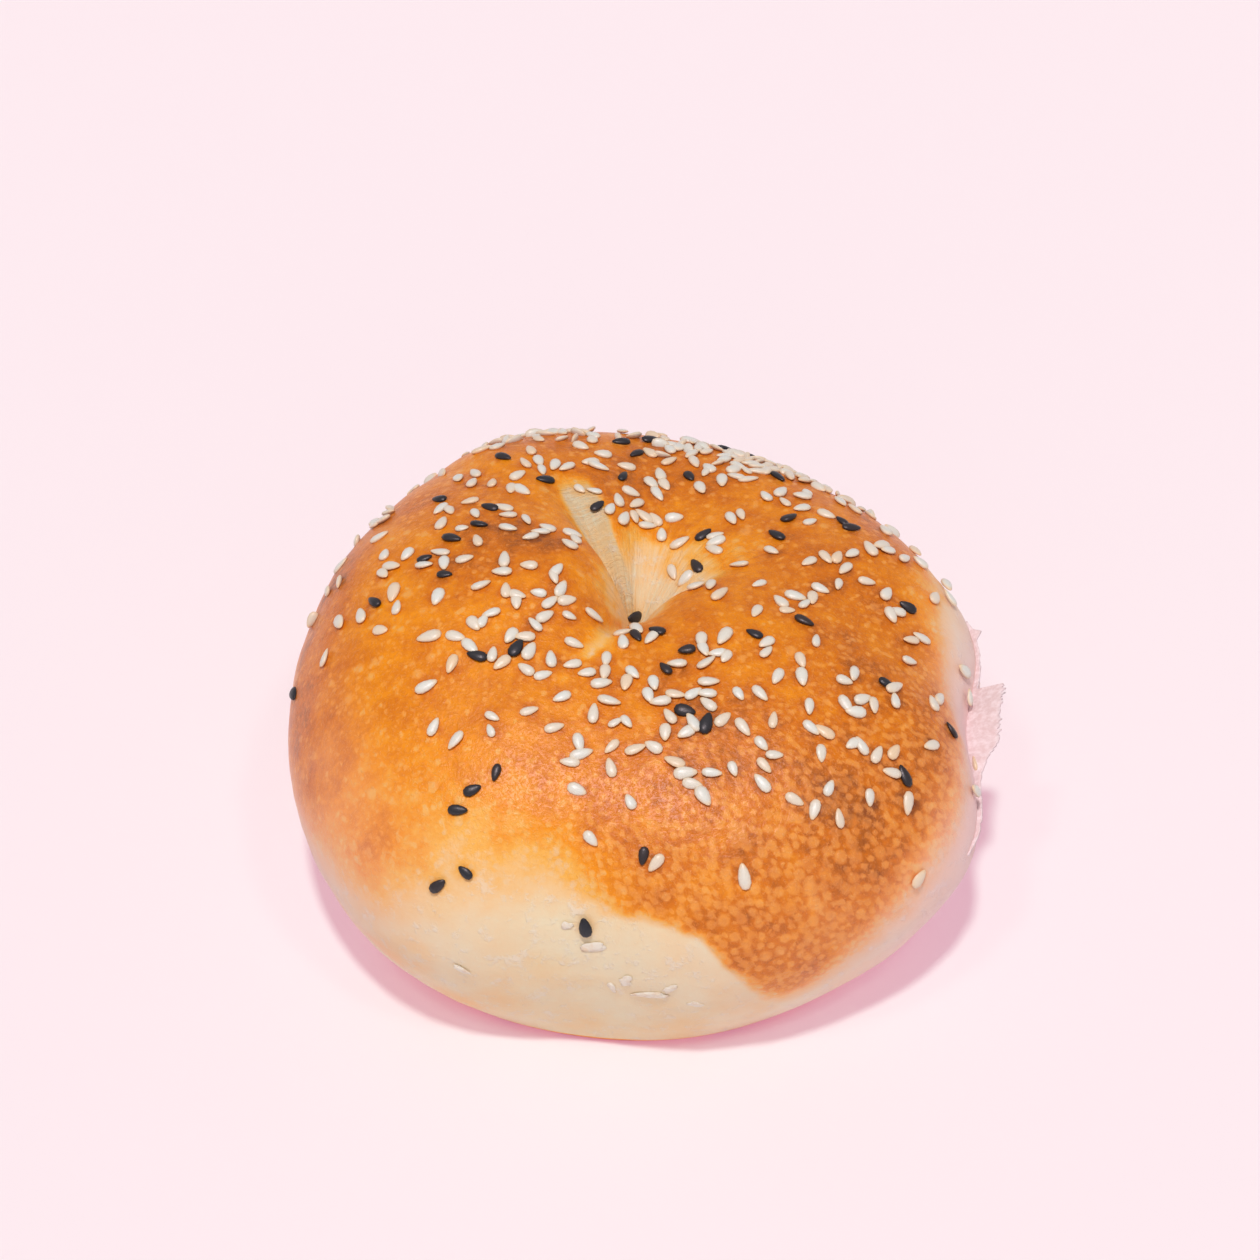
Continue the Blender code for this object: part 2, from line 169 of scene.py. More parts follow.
@dataclass(frozen=True)
class Ring:
    """The form of the bagel: a ring of dough, with a dimple where its hole has closed."""

    centre: tuple[float, float] = (-1.8 * MM, -5.4 * MM)
    widest_radius: float = 57.0 * MM
    widest_height: float = 23.4 * MM
    crest_height: float = 50.5 * MM
    base_radius: float = 43.0 * MM
    crown_fullness: float = 2.29
    belly_fullness: float = 1.51
    outline_waves: Waves = (
        (1, 1.1 * MM, 2.8 * MM), (2, 1.0 * MM, -0.5 * MM), (3, 1.5 * MM, -1.4 * MM), (4, 0.1 * MM, -0.2 * MM),
    )
    crest_waves: Waves = ((1, -2.3 * MM, -1.4 * MM), (2, 1.6 * MM, -1.0 * MM))
    widest_height_waves: Waves = ((1, 0.2 * MM, 3.0 * MM),)
    saddle_azimuth: float = 84.0
    saddle_width: float = 22.0
    saddle_depth: float = 1.3 * MM
    pressed_sides: Bells = ((-4.9, 14.8, 6.8 * MM), (260.0, 18.4, 4.8 * MM))
    navel: tuple[float, float, float] = (0.0, 8.0 * MM, 35.0 * MM)
    funnel_radius: float = 21.0 * MM
    lobe_radius: float = 12.5 * MM
    lobe_roundness: float = 0.6
    funnel_start: float = 14.0
    funnel_start_blur: float = 11.0
    funnel_end: float = 126.0
    funnel_end_blur: float = 4.5
    fold_azimuth: float = 117.0
    fold_width: float = 8.0
    fold_depth: float = 2.0 * MM
    fold_start: float = 0.35
    fold_end: float = 1.30
    fold_fade: float = 0.45
    ridge_azimuth: float = 98.0
    ridge_width: float = 9.0
    ridge_rise: float = 0.9 * MM
    crease_azimuth: float = 249.0
    crease_width: float = 12.0
    crease_depth: float = 2.4 * MM
    crease_start: float = 0.3
    crease_end: float = 1.12
    crease_fade: float = 0.5
    under_dimple_radius: float = 13.0 * MM
    under_dimple_depth: float = 3.5 * MM

    def funnel_share(self, azimuth: np.ndarray) -> np.ndarray:
        """Return 1 where the dimple is a funnel and 0 where lobes of dough crowd it."""
        middle = (self.funnel_start + self.funnel_end) / 2.0
        half = (self.funnel_end - self.funnel_start) / 2.0
        turn = turn_from(azimuth, middle)
        start = smooth_step((turn + half + self.funnel_start_blur) / (2.0 * self.funnel_start_blur))
        end = smooth_step((half + self.funnel_end_blur - turn) / (2.0 * self.funnel_end_blur))
        return start * end

    def folds(self, azimuth: np.ndarray, station: np.ndarray) -> np.ndarray:
        """Return how far the fold, the ridge and the crease shift the dimple's wall up."""
        along = smooth_step(station / self.fold_start)
        along = along * smooth_step((self.fold_end - station) / self.fold_fade)
        near = smooth_step(station / self.crease_start)
        near = near * smooth_step((self.crease_end - station) / self.crease_fade)
        fold = -self.fold_depth * furrow(azimuth, self.fold_azimuth, self.fold_width) * along
        ridge = self.ridge_rise * furrow(azimuth, self.ridge_azimuth, self.ridge_width) * along
        crease = -self.crease_depth * furrow(azimuth, self.crease_azimuth, self.crease_width) * near
        return fold + ridge + crease

    def skin(self, azimuth: np.ndarray | float, station: np.ndarray | float) -> np.ndarray:
        """Return the points of the skin.

        Args:
            azimuth: Azimuths in radians.
            station: Stations from 0, the navel, to 3, the edge of the base.

        Returns:
            An array with a last axis of x, y and z.
        """
        azimuth = np.asarray(azimuth, float)
        station = np.asarray(station, float)
        widest = self.widest_radius + waves(azimuth, self.outline_waves)
        widest = widest - bells(azimuth, self.pressed_sides)
        waist = self.widest_height + waves(azimuth, self.widest_height_waves)
        crest = self.crest_height + waves(azimuth, self.crest_waves)
        crest = crest - self.saddle_depth * furrow(azimuth, self.saddle_azimuth, self.saddle_width)
        funnel = self.funnel_share(azimuth)
        mouth = self.lobe_radius + (self.funnel_radius - self.lobe_radius) * funnel

        inward = np.clip(station, 0.0, 1.0)
        steepness = self.lobe_roundness + (1.0 - self.lobe_roundness) * funnel
        wall = (1.0 - (1.0 - inward) ** 2) ** steepness
        over = np.clip(station - 1.0, 0.0, 1.0) * math.pi / 2.0
        under = np.clip(station - 2.0, 0.0, 1.0) * math.pi / 2.0
        round_over = 2.0 / self.crown_fullness
        round_under = 2.0 / self.belly_fullness

        wall_height = self.navel[2] + (crest - self.navel[2]) * wall
        crown_height = waist + (crest - waist) * np.clip(np.cos(over), 0.0, 1.0) ** round_over
        belly_height = waist * (1.0 - np.sin(under) ** round_under)
        crown_reach = mouth + (widest - mouth) * np.sin(over) ** round_over
        tuck = np.clip(np.cos(under), 0.0, 1.0) ** round_under
        belly_reach = self.base_radius + (widest - self.base_radius) * tuck

        reach = np.where(station <= 1.0, mouth * inward, np.where(station <= 2.0, crown_reach, belly_reach))
        height = np.where(station <= 1.0, wall_height, np.where(station <= 2.0, crown_height, belly_height))
        height = height + self.folds(azimuth, station)
        pull = 1.0 - smooth_step(station - 1.0)
        x = self.centre[0] + self.navel[0] * pull + reach * np.cos(azimuth)
        y = self.centre[1] + self.navel[1] * pull + reach * np.sin(azimuth)
        return np.stack([x, y, height], axis=-1)

    def underside(self, azimuth: np.ndarray, inward: np.ndarray) -> np.ndarray:
        """Return points of the underside, flat outside and rising to the small dimple in its middle.

        Args:
            azimuth: Azimuths in radians.
            inward: 0 at the edge of the base, 1 at the rim of the dimple, 2 in its middle.

        Returns:
            An array with a last axis of x, y and z.
        """
        outer = self.base_radius + (self.under_dimple_radius - self.base_radius) * np.clip(inward, 0.0, 1.0)
        reach = np.where(inward <= 1.0, outer, self.under_dimple_radius * (2.0 - inward))
        rise = self.under_dimple_depth * smooth_step(inward - 1.0)
        x = self.centre[0] + reach * np.cos(azimuth)
        y = self.centre[1] + reach * np.sin(azimuth)
        return np.stack([x, y, rise], axis=-1)

    def frame(self, azimuth: float, station: float) -> tuple[Vector, Vector, Vector]:
        """Return a point of the skin, its outward normal, and the direction along the ring."""
        step = 0.004
        point = self.skin(azimuth, station)
        along = self.skin(azimuth + step, station) - self.skin(azimuth - step, station)
        down = self.skin(azimuth, station + step) - self.skin(azimuth, station - step)
        normal = np.cross(down, along)
        return Vector(point), Vector(normal).normalized(), Vector(along).normalized()


@dataclass(frozen=True)
class Handful:
    """Seeds dropped round one place on the skin."""

    azimuth: float
    station: float
    reach: float
    white: int
    black: int


class SeedKind(Enum):
    """The two kinds of sesame seed on the crust."""

    WHITE = "white_sesame"
    BLACK = "black_sesame"


@dataclass(frozen=True)
class Scatter:
    """The rule by which seeds fall on the ring; the spacing is counted in lengths of a seed."""

    ring: Ring
    handfuls: tuple[Handful, ...]
    draw: int
    length: float = 3.1 * MM
    thickness: float = 0.95 * MM
    sink: float = 0.18
    size_spread: float = 0.08
    spacing: float = 0.62
    lean: float = 0.16
    heap_lift: float = 0.55
    highest_station: float = 0.25
    lowest_station: float = 2.05
    station_length: float = 45.0 * MM
    tries: int = 60

    def drop(
        self, handful: Handful, placed: list, chance: np.random.Generator
    ) -> tuple[Vector, Vector, Vector]:
        """Return a place near a handful's middle that is clear of earlier seeds, or the last one tried."""
        middle = math.radians(handful.azimuth)
        from_navel = Vector(self.ring.skin(middle, handful.station)) - Vector(self.ring.skin(0.0, 0.0))
        highest = min(self.highest_station, handful.station)
        for _ in range(self.tries):
            shift = chance.normal(0.0, handful.reach, 2)
            azimuth = middle + shift[0] / from_navel.xy.length
            station = min(max(handful.station + shift[1] / self.station_length, highest), self.lowest_station)
            point, normal, along = self.ring.frame(azimuth, station)
            if all((point - other).length > self.spacing * self.length for other, _, _ in placed):
                break
        return point, normal, along

    def places(self, placed: list) -> list[tuple[Vector, Matrix, SeedKind]]:
        """Return where the seeds lie, in the order in which they fall.

        Args:
            placed: Seeds that lie there already, as this method returns them.

        Returns:
            For each seed, the earlier ones first, its point on the skin, its matrix and its kind.
        """
        chance = np.random.default_rng(self.draw)
        falls = []
        for handful in self.handfuls:
            falls += [(handful, SeedKind.WHITE)] * handful.white + [(handful, SeedKind.BLACK)] * handful.black
        placed = list(placed)
        for index in chance.permutation(len(falls)):
            handful, kind = falls[index]
            point, normal, along = self.drop(handful, placed, chance)
            turn = Matrix.Rotation(chance.uniform(0.0, 2.0 * math.pi), 3, normal)
            length = turn @ along
            lean = Matrix.Rotation(chance.normal(0.0, self.lean), 3, length)
            up = lean @ normal
            axes = Matrix((length, up.cross(length), up)).transposed()
            size = 1.0 + self.size_spread * chance.normal()
            nearest = min([(point - other).length for other, _, _ in placed], default=self.length)
            crowding = max(0.0, 1.0 - nearest / (self.spacing * self.length))
            rest = self.thickness * (0.5 - self.sink + self.heap_lift * crowding)
            place = Matrix.Translation(point + normal * rest) @ axes.to_4x4() @ Matrix.Scale(size, 4)
            placed.append((point, place, kind))
        return placed


# The seeds of the crown: each handful's azimuth, station and reach, and its white and black seeds
HANDFULS = (
    Handful(12, 1.29, 8 * MM, 10, 1),
    Handful(33, 1.23, 8 * MM, 6, 2),
    Handful(52, 1.25, 7 * MM, 7, 3),
    Handful(68, 1.36, 6 * MM, 16, 4),
    Handful(90, 1.28, 7 * MM, 12, 2),
    Handful(110, 1.12, 7 * MM, 10, 4),
    Handful(130, 1.26, 7 * MM, 7, 1),
    Handful(150, 1.24, 7 * MM, 10, 4),
    Handful(170, 1.27, 8 * MM, 8, 1),
    Handful(190, 1.30, 9 * MM, 7, 1),
    Handful(210, 1.13, 6 * MM, 10, 2),
    Handful(228, 1.15, 7 * MM, 8, 0),
    Handful(250, 1.20, 8 * MM, 10, 0),
    Handful(270, 1.27, 8 * MM, 13, 2),
    Handful(291, 1.32, 8 * MM, 13, 3),
    Handful(313, 1.39, 8 * MM, 18, 1),
    Handful(332, 1.32, 8 * MM, 10, 2),
    Handful(354, 1.45, 9 * MM, 12, 3),
)

# Black seeds that lie apart from the handfuls: in the dimple, and on the bare left and front side
LONE_BLACK_SEEDS = tuple(
    Handful(turn, station, 0.0, 0, 1)
    for turn, station in (
        (90, 0.19), (272, 0.93), (42, 0.65), (289, 0.90), (238, 1.42), (235, 1.48), (234, 1.54), (239, 1.69),
        (235, 1.75), (261, 1.83), (181, 1.81),
    )
)

# How close the white seeds beyond those of the solid lie, in lengths of a seed
CLOSE_SPACING = 0.45

# The first of these are a share of every handful, a few strays round the ring, and some in the dimple
MORE_SHARE = 0.50
STRAY_STATION = 1.55
STRAY_REACH = 13 * MM
STRAY_STEP = 40
IN_DIMPLE = (
    Handful(80, 0.98, 4 * MM, 3, 0),
    Handful(55, 0.88, 4 * MM, 3, 0),
    Handful(38, 0.62, 3 * MM, 1, 0),
    Handful(65, 0.50, 2 * MM, 1, 0),
)

# The others lie in small heaps along the far side of the crest, where they lean on each other
HEAP_REACH = 3.2 * MM
HEAP_LEAN = 0.75
HEAP_LIFT = 1.7
FAR_HEAPS = tuple(
    Handful(turn, station, HEAP_REACH, count, 0)
    for turn, station, count in (
        (24, 1.64, 3), (40, 1.60, 5), (50, 1.57, 5), (58, 1.54, 9), (66, 1.47, 12), (74, 1.46, 9),
        (86, 1.40, 4), (97, 1.43, 6), (104, 1.46, 8), (112, 1.50, 11), (127, 1.62, 5), (146, 1.60, 5),
        (165, 1.68, 4),
    )
)


def more_seeds() -> tuple[Handful, ...]:
    """Return the handfuls of the white seeds that come on top of the solid's."""
    more = [replace(handful, white=round(handful.white * MORE_SHARE), black=0) for handful in HANDFULS]
    strays = [Handful(turn, STRAY_STATION, STRAY_REACH, 1, 0) for turn in range(0, 360, STRAY_STEP)]
    return tuple(more + strays) + IN_DIMPLE


def seed_places(ring: Ring) -> list[tuple[Vector, Matrix, SeedKind]]:
    """Return where all the seeds lie: those of the solid first, then the white ones that come on top."""
    thick = Scatter(ring, HANDFULS + LONE_BLACK_SEEDS, draw=20)
    thin = Scatter(ring, more_seeds(), draw=21, spacing=CLOSE_SPACING)
    heaped = Scatter(ring, FAR_HEAPS, draw=22, spacing=CLOSE_SPACING, lean=HEAP_LEAN, heap_lift=HEAP_LIFT)
    return heaped.places(thin.places(thick.places([])))


class Wire:
    """An output socket of a material's nodes, or a plain number, with arithmetic that adds Math nodes."""

    def __init__(self, desk: "Desk", source: "bpy.types.NodeSocket | float") -> None:
        """Keep the desk that makes new nodes, and the socket or number."""
        self.desk = desk
        self.source = source

    def math(self, operation: str, *others: "Wire | float", clamp: bool = False) -> "Wire":
        """Return the result of one Math node on this value and the others."""
        values = {i: value for i, value in enumerate((self, *others))}
        return self.desk.node("ShaderNodeMath", {"operation": operation, "use_clamp": clamp}, values)

    def __add__(self, other: "Wire | float") -> "Wire":
        """Return the sum."""
        return self.math("ADD", other)

    def __sub__(self, other: "Wire | float") -> "Wire":
        """Return the difference."""
        return self.math("SUBTRACT", other)

    def __rsub__(self, other: float) -> "Wire":
        """Return a number minus this value."""
        return Wire(self.desk, other).math("SUBTRACT", self)

    def __mul__(self, other: "Wire | float") -> "Wire":
        """Return the product."""
        return self.math("MULTIPLY", other)

    def __truediv__(self, other: "Wire | float") -> "Wire":
        """Return the quotient."""
        return self.math("DIVIDE", other)

    __radd__ = __add__
    __rmul__ = __mul__

    def clamped(self) -> "Wire":
        """Return this value held between 0 and 1."""
        return self.math("ADD", 0.0, clamp=True)

    def between(self, low: float, high: float) -> "Wire":
        """Return how far this value has gone from low to high, smoothly, as 0 to 1."""
        settings = {"interpolation_type": "SMOOTHSTEP"}
        values = {"Value": self, "From Min": low, "From Max": high, "To Min": 0.0, "To Max": 1.0}
        return self.desk.node("ShaderNodeMapRange", settings, values)


class Desk:
    """Makes the nodes of one material round its Principled shader."""

    def __init__(self, name: str) -> None:
        """Start a material with that name."""
        self.material = bpy.data.materials.new(name)
        self.material.use_nodes = True
        self.tree = self.material.node_tree
        self.shader = self.tree.nodes["Principled BSDF"]

    def node(self, kind: str, settings: dict, values: dict, output: int | str = 0) -> Wire:
        """Add a node.

        Args:
            kind: The node's type.
            settings: Its properties, set before its sockets.
            values: What goes into its sockets, by index or name: numbers, colours or wires.
            output: The socket that is returned.

        Returns:
            The chosen output as a wire.
        """
        made = self.tree.nodes.new(kind)
        for name, value in settings.items():
            setattr(made, name, value)
        for key, value in values.items():
            self.plug(value, made.inputs[key])
        return Wire(self, made.outputs[output])

    def plug(self, value: object, socket: bpy.types.NodeSocket) -> None:
        """Link a wire to a socket, or set the socket to a number or colour."""
        source = value.source if isinstance(value, Wire) else value
        if isinstance(source, bpy.types.NodeSocket):
            self.tree.links.new(source, socket)
        elif socket.type == "RGBA":
            socket.default_value = (*source, 1.0)[:4]
        else:
            socket.default_value = source

    def place(self) -> Wire:
        """Return the object coordinates."""
        return self.node("ShaderNodeTexCoord", {}, {}, "Object")

    def attribute(self, name: str) -> Wire:
        """Return a number stored on the piece's vertices."""
        return self.node("ShaderNodeAttribute", {"attribute_name": name}, {}, "Fac")

    def noise(self, place: Wire, grain: float, detail: float = 3.0, rough: float = 0.55) -> Wire:
        """Return soft noise from 0 to 1, whose lumps are about one grain, in metres, across."""
        values = {"Vector": place, "Scale": 1.0 / grain, "Detail": detail, "Roughness": rough}
        return self.node("ShaderNodeTexNoise", {}, values, "Fac")

    def swing(self, place: Wire, grain: float, detail: float = 3.0, rough: float = 0.55) -> Wire:
        """Return soft noise from -0.5 to 0.5, whose lumps are about one grain, in metres, across."""
        return self.noise(place, grain, detail, rough) - 0.5

    def bent(self, place: Wire, grain: float, shift: float, detail: float = 2.0) -> Wire:
        """Return coordinates shifted at random by up to about a length, which bends what is round."""
        values = {"Vector": place, "Scale": 1.0 / grain, "Detail": detail}
        colour = self.node("ShaderNodeTexNoise", {}, values, "Color")
        middle = (0.5, 0.5, 0.5)
        centred = self.node("ShaderNodeVectorMath", {"operation": "SUBTRACT"}, {0: colour, 1: middle})
        small = self.node("ShaderNodeVectorMath", {"operation": "SCALE"}, {0: centred, "Scale": 2.0 * shift})
        return self.node("ShaderNodeVectorMath", {"operation": "ADD"}, {0: place, 1: small})

    def mix(self, share: Wire | float, low: object, high: object) -> Wire:
        """Return a mix of two colours."""
        settings = {"data_type": "RGBA", "clamp_factor": True}
        values = {MIX_SHARE: share, MIX_LOW: low, MIX_HIGH: high}
        return self.node("ShaderNodeMix", settings, values, MIX_RESULT)

    def ramp(self, value: Wire, stops: Sequence[tuple[float, Colour]]) -> Wire:
        """Return a colour from a ramp with the given stops."""
        made = self.tree.nodes.new("ShaderNodeValToRGB")
        steps = made.color_ramp.elements
        while len(steps) < len(stops):
            steps.new(0.5)
        for step, (position, colour) in zip(steps, stops):
            step.position = position
            step.color = (*colour, 1.0)
        self.plug(value, made.inputs[0])
        return Wire(self, made.outputs[0])

    def bump(self, height: Wire, depth: float, strength: float = 1.0) -> None:
        """Let a height from 0 to 1 dent the surface by a depth in metres."""
        values = {"Height": height, "Distance": depth, "Strength": strength}
        self.plug(self.node("ShaderNodeBump", {}, values, "Normal"), self.shader.inputs["Normal"])

    def set(self, **sockets: object) -> None:
        """Set or link the shader's sockets, whose names are written with underscores for blanks."""
        for name, value in sockets.items():
            self.plug(value, self.shader.inputs[name.replace("_", " ")])


@dataclass(frozen=True)
class Pattern:
    """One pattern of the crust: its size, and how much it darkens, lightens, coats and lifts the crust."""

    size: float = 0.0
    tone: float = 0.0
    light: float = 0.0
    skin: float = 0.0
    relief: float = 0.0
    raw_relief: float = 0.0


@dataclass(frozen=True)
class CrustFinish:
    """Baked crust: pale dough to deep brown, freckled with fine blisters, with a satin shine."""

    dough: Colour = (0.80, 0.72, 0.51)
    peach: Colour = (0.86, 0.57, 0.28)
    light_gold: Colour = (0.90, 0.44, 0.07)
    gold: Colour = (0.88, 0.285, 0.002)
    amber: Colour = (0.66, 0.165, 0.003)
    brown: Colour = (0.37, 0.095, 0.010)
    scorched: Colour = (0.20, 0.05, 0.015)
    stops: tuple[float, ...] = (0.0, 0.17, 0.36, 0.55, 0.75, 0.90, 1.0)
    blister_skin: Colour = (0.80, 0.42, 0.17)
    # the colour of the golden stains on the pale dough
    stain_and_seed_shade: Colour = (0.84, 0.56, 0.24)
    flour: Colour = (0.80, 0.74, 0.64)
    # painted pink reflection of the floor on the sides
    pink_reflection: Colour = (0.90, 0.63, 0.67)
    clouds: Pattern = Pattern(size=9.0 * MM, tone=0.32)
    dapples: Pattern = Pattern(size=3.45 * MM, tone=0.34)
    mottles: Pattern = Pattern(size=0.9 * MM, tone=0.26, relief=0.12, raw_relief=0.07)
    rays: Pattern = Pattern(size=9.0 * MM, tone=0.50, relief=0.35)
    wrinkles: Pattern = Pattern(size=0.5 * MM, tone=0.35, relief=0.70)
    freckles: Pattern = Pattern(size=2.3 * MM, light=0.12, skin=0.27, relief=0.05)
    small_freckles: Pattern = Pattern(size=1.1 * MM, light=0.09, skin=0.20, relief=0.025)
    flecks: Pattern = Pattern(size=0.45 * MM, light=0.10, skin=0.14, relief=0.04)
    bubbles: Pattern = Pattern(light=0.15, skin=0.28)
    grains: Pattern = Pattern(size=0.30 * MM, relief=0.010)
    # the golden stains on the pale dough
    stains_and_seed_shade: Pattern = Pattern(size=13.5 * MM, skin=0.55)
    dust: Pattern = Pattern(size=2.3 * MM, skin=0.50, raw_relief=0.08)
    ray_count: float = 110.0
    wrinkle_count: float = 14.0
    freckle_strength: Span = (0.55, 1.015)
    small_freckle_strength: Span = (0.45, 0.985)
    freckle_reach: Span = (0.26, 0.60)
    freckle_edge: Span = (0.0, 0.9)
    fleck_edge: Span = (0.48, 0.72)
    bubble_edge: Span = (0.62, 1.08)
    bubble_spread: float = 0.25
    bubble_cover: float = 0.7
    stain_edge: Span = (0.48, 0.72)
    dust_edge: Span = (0.52, 0.68)
    wobble: float = 0.9 * MM
    wobble_share: float = 0.45
    baked_from: Span = (0.08, 0.42)
    baked_tone: float = 0.08
    raw_pattern: float = 0.2
    pink_reflection_strength: float = 0.82
    pink_reflection_end: Span = (0.10, 0.85)
    shine: float = 0.34
    raw_dullness: float = 0.26
    shine_spread: float = 0.10
    specular: float = 0.34
    sheen: Colour = (1.0, 0.74, 0.80)
    sheen_weight: float = 0.08
    sheen_roughness: float = 0.22

    def domes(self, desk: Desk, place: Wire, grain: float, strength: Span) -> Wire:
        """Find the domes of small round freckles of random size.

        Args:
            desk: The material's desk.
            place: The coordinates.
            grain: How far apart the freckles lie.
            strength: The random number from which a freckle shows, and that from which it shows in full.

        Returns:
            The domes' heights.
        """
        settings = {"feature": "F1"}
        values = {"Vector": place, "Scale": 1.0 / grain, "Randomness": 1.0}
        distance = desk.node("ShaderNodeTexVoronoi", settings, values, "Distance")
        chance = desk.node("ShaderNodeTexVoronoi", settings, values, "Color")
        least, most = self.freckle_reach
        reach = desk.node("ShaderNodeSeparateColor", {}, {0: chance}, 0) * (most - least) + least
        shows = desk.node("ShaderNodeSeparateColor", {}, {0: chance}, 1).between(*strength)
        across = distance / reach
        return (1.0 - across * across).clamped() * shows

    def drawn_out(
        self, desk: Desk, place: Wire, centre: tuple[float, float], count: float, length: float
    ) -> Wire:
        """Return noise drawn out into rays from a centre, about so many of them, of a length in metres."""
        x = desk.node("ShaderNodeSeparateXYZ", {}, {0: place}, 0) - centre[0]
        y = desk.node("ShaderNodeSeparateXYZ", {}, {0: place}, 1) - centre[1]
        azimuth = y.math("ARCTAN2", x)
        reach = (x * x + y * y).math("SQRT")
        values = {0: azimuth * (count / math.tau), 1: reach / length}
        drawn = desk.node("ShaderNodeCombineXYZ", {}, values)
        return desk.swing(drawn, 1.0, detail=5.0, rough=0.65)

    def make(self, navel: tuple[float, float]) -> bpy.types.Material:
        """Return the material for a bagel whose navel lies at a place in plan."""
        desk = Desk("baked crust")
        place = desk.place()
        bent = desk.bent(place, self.wobble, self.wobble_share * self.wobble)
        # how far the skin browned, which also holds painted shade round the seeds and at the far left edge
        browning_and_shade = desk.attribute("browning_and_shade")
        funnel = desk.attribute("funnel")
        fold = desk.attribute("fold")
        baked = browning_and_shade.between(*self.baked_from)
        raw = 1.0 - baked

        clouds = desk.swing(place, self.clouds.size)
        dapples = desk.swing(place, self.dapples.size)
        mottles = desk.swing(place, self.mottles.size, rough=0.6)
        rays = self.drawn_out(desk, place, navel, self.ray_count, self.rays.size)
        wrinkles = self.drawn_out(desk, place, navel, self.wrinkle_count, self.wrinkles.size)
        domes = self.domes(desk, bent, self.freckles.size, self.freckle_strength)
        small_domes = self.domes(desk, bent, self.small_freckles.size, self.small_freckle_strength)
        flecks = desk.noise(bent, self.flecks.size, detail=4.0, rough=0.6).between(*self.fleck_edge)
        bubbles = 1.0 - desk.attribute("blister").between(*self.bubble_edge)
        bubble_tone = desk.attribute("blister_tone") * self.bubble_spread + (1.0 - self.bubble_spread)
        bubbles = bubbles * bubble_tone
        clear = 1.0 - bubbles * self.bubble_cover
        spots = domes.between(*self.freckle_edge) * clear
        small_spots = small_domes.between(*self.freckle_edge) * clear

        patterned = clouds * self.clouds.tone + dapples * self.dapples.tone + mottles * self.mottles.tone
        tone = browning_and_shade + patterned * (baked * (1.0 - self.raw_pattern) + self.raw_pattern)
        tone = tone + rays * funnel * self.rays.tone + wrinkles * fold * self.wrinkles.tone
        lighter = spots * self.freckles.light + small_spots * self.small_freckles.light
        lighter = lighter + flecks * self.flecks.light + bubbles * self.bubbles.light
        tone = tone + (self.baked_tone - lighter) * baked
        browned = (self.dough, self.peach, self.light_gold, self.gold, self.amber, self.brown, self.scorched)
        colour = desk.ramp(tone, tuple(zip(self.stops, browned)))
        skinned = spots * self.freckles.skin + small_spots * self.small_freckles.skin
        skinned = skinned + flecks * self.flecks.skin + bubbles * self.bubbles.skin
        colour = desk.mix(skinned * baked, colour, self.blister_skin)

        stains_and_seed_shade = desk.noise(place, self.stains_and_seed_shade.size, detail=4.0).between(*self.stain_edge)
        colour = desk.mix(stains_and_seed_shade * raw * self.stains_and_seed_shade.skin, colour, self.stain_and_seed_shade)
        dust = desk.noise(bent, self.dust.size, detail=4.0, rough=0.7).between(*self.dust_edge)
        colour = desk.mix(dust * raw * self.dust.skin, colour, self.flour)
        # painted pink reflection of the floor on the sides, fading out on well browned skin
        pinkness = 1.0 - browning_and_shade.between(*self.pink_reflection_end)
        colour = desk.mix(desk.attribute("pink_reflection") * pinkness * self.pink_reflection_strength, colour, self.pink_reflection)

        grains = desk.noise(place, self.grains.size)
        height = domes * self.freckles.relief + small_domes * self.small_freckles.relief
        height = height + mottles * self.mottles.relief + flecks * self.flecks.relief
        height = height * baked + grains * self.grains.relief
        height = height + (dust * self.dust.raw_relief + mottles * self.mottles.raw_relief) * raw
        height = height + rays * funnel * self.rays.relief + wrinkles * fold * self.wrinkles.relief
        desk.bump(height, MM)
        roughness = self.shine + raw * self.raw_dullness + (grains - 0.5) * self.shine_spread
        desk.set(Base_Color=colour, Roughness=roughness, Specular_IOR_Level=self.specular)
        desk.set(Sheen_Weight=self.sheen_weight, Sheen_Roughness=self.sheen_roughness, Sheen_Tint=self.sheen)
        return desk.material


@dataclass(frozen=True)
class SeedFinish:
    """Skin of a sesame seed, which darkens towards its rim and its tip; the white seed's warm rim is partly
    toasted skin and partly painted warm light glowing through the thin edge.
    """

    name: str
    middle: Colour
    rim: Colour
    toasted: Colour
    toast_share: float
    shine: float
    speckle: float
    grain: float = 0.3 * MM
    speckle_edge: Span = (0.5, 0.8)
    relief: float = 0.03
    shine_spread: float = 0.2

    def make(self) -> bpy.types.Material:
        """Return the material."""
        desk = Desk(self.name)
        # the rim colour: on the white seed partly toasted skin, partly painted warm light glowing through the
        # thin edge
        colour = desk.mix(desk.attribute("rim"), self.middle, self.rim)
        colour = desk.mix(desk.attribute("toast") * self.toast_share, colour, self.toasted)
        grain = desk.noise(desk.place(), self.grain, detail=2.0)
        colour = desk.mix(grain.between(*self.speckle_edge) * self.speckle, colour, self.rim)
        desk.bump(grain * self.relief, MM)
        desk.set(Base_Color=colour, Roughness=self.shine + (grain - 0.5) * self.shine_spread)
        return desk.material


WHITE_SEED = SeedFinish(
    name="white sesame",
    middle=(0.74, 0.75, 0.70),
    # partly toasted, partly painted warm light glowing through the thin edge
    rim=(0.82, 0.60, 0.38),
    toasted=(0.84, 0.56, 0.31),
    toast_share=0.9,
    shine=0.34,
    speckle=0.2,
)
BLACK_SEED = SeedFinish(
    name="black sesame",
    middle=(0.020, 0.023, 0.030),
    rim=(0.010, 0.010, 0.013),
    toasted=(0.06, 0.03, 0.02),
    toast_share=0.6,
    shine=0.38,
    speckle=0.5,
)


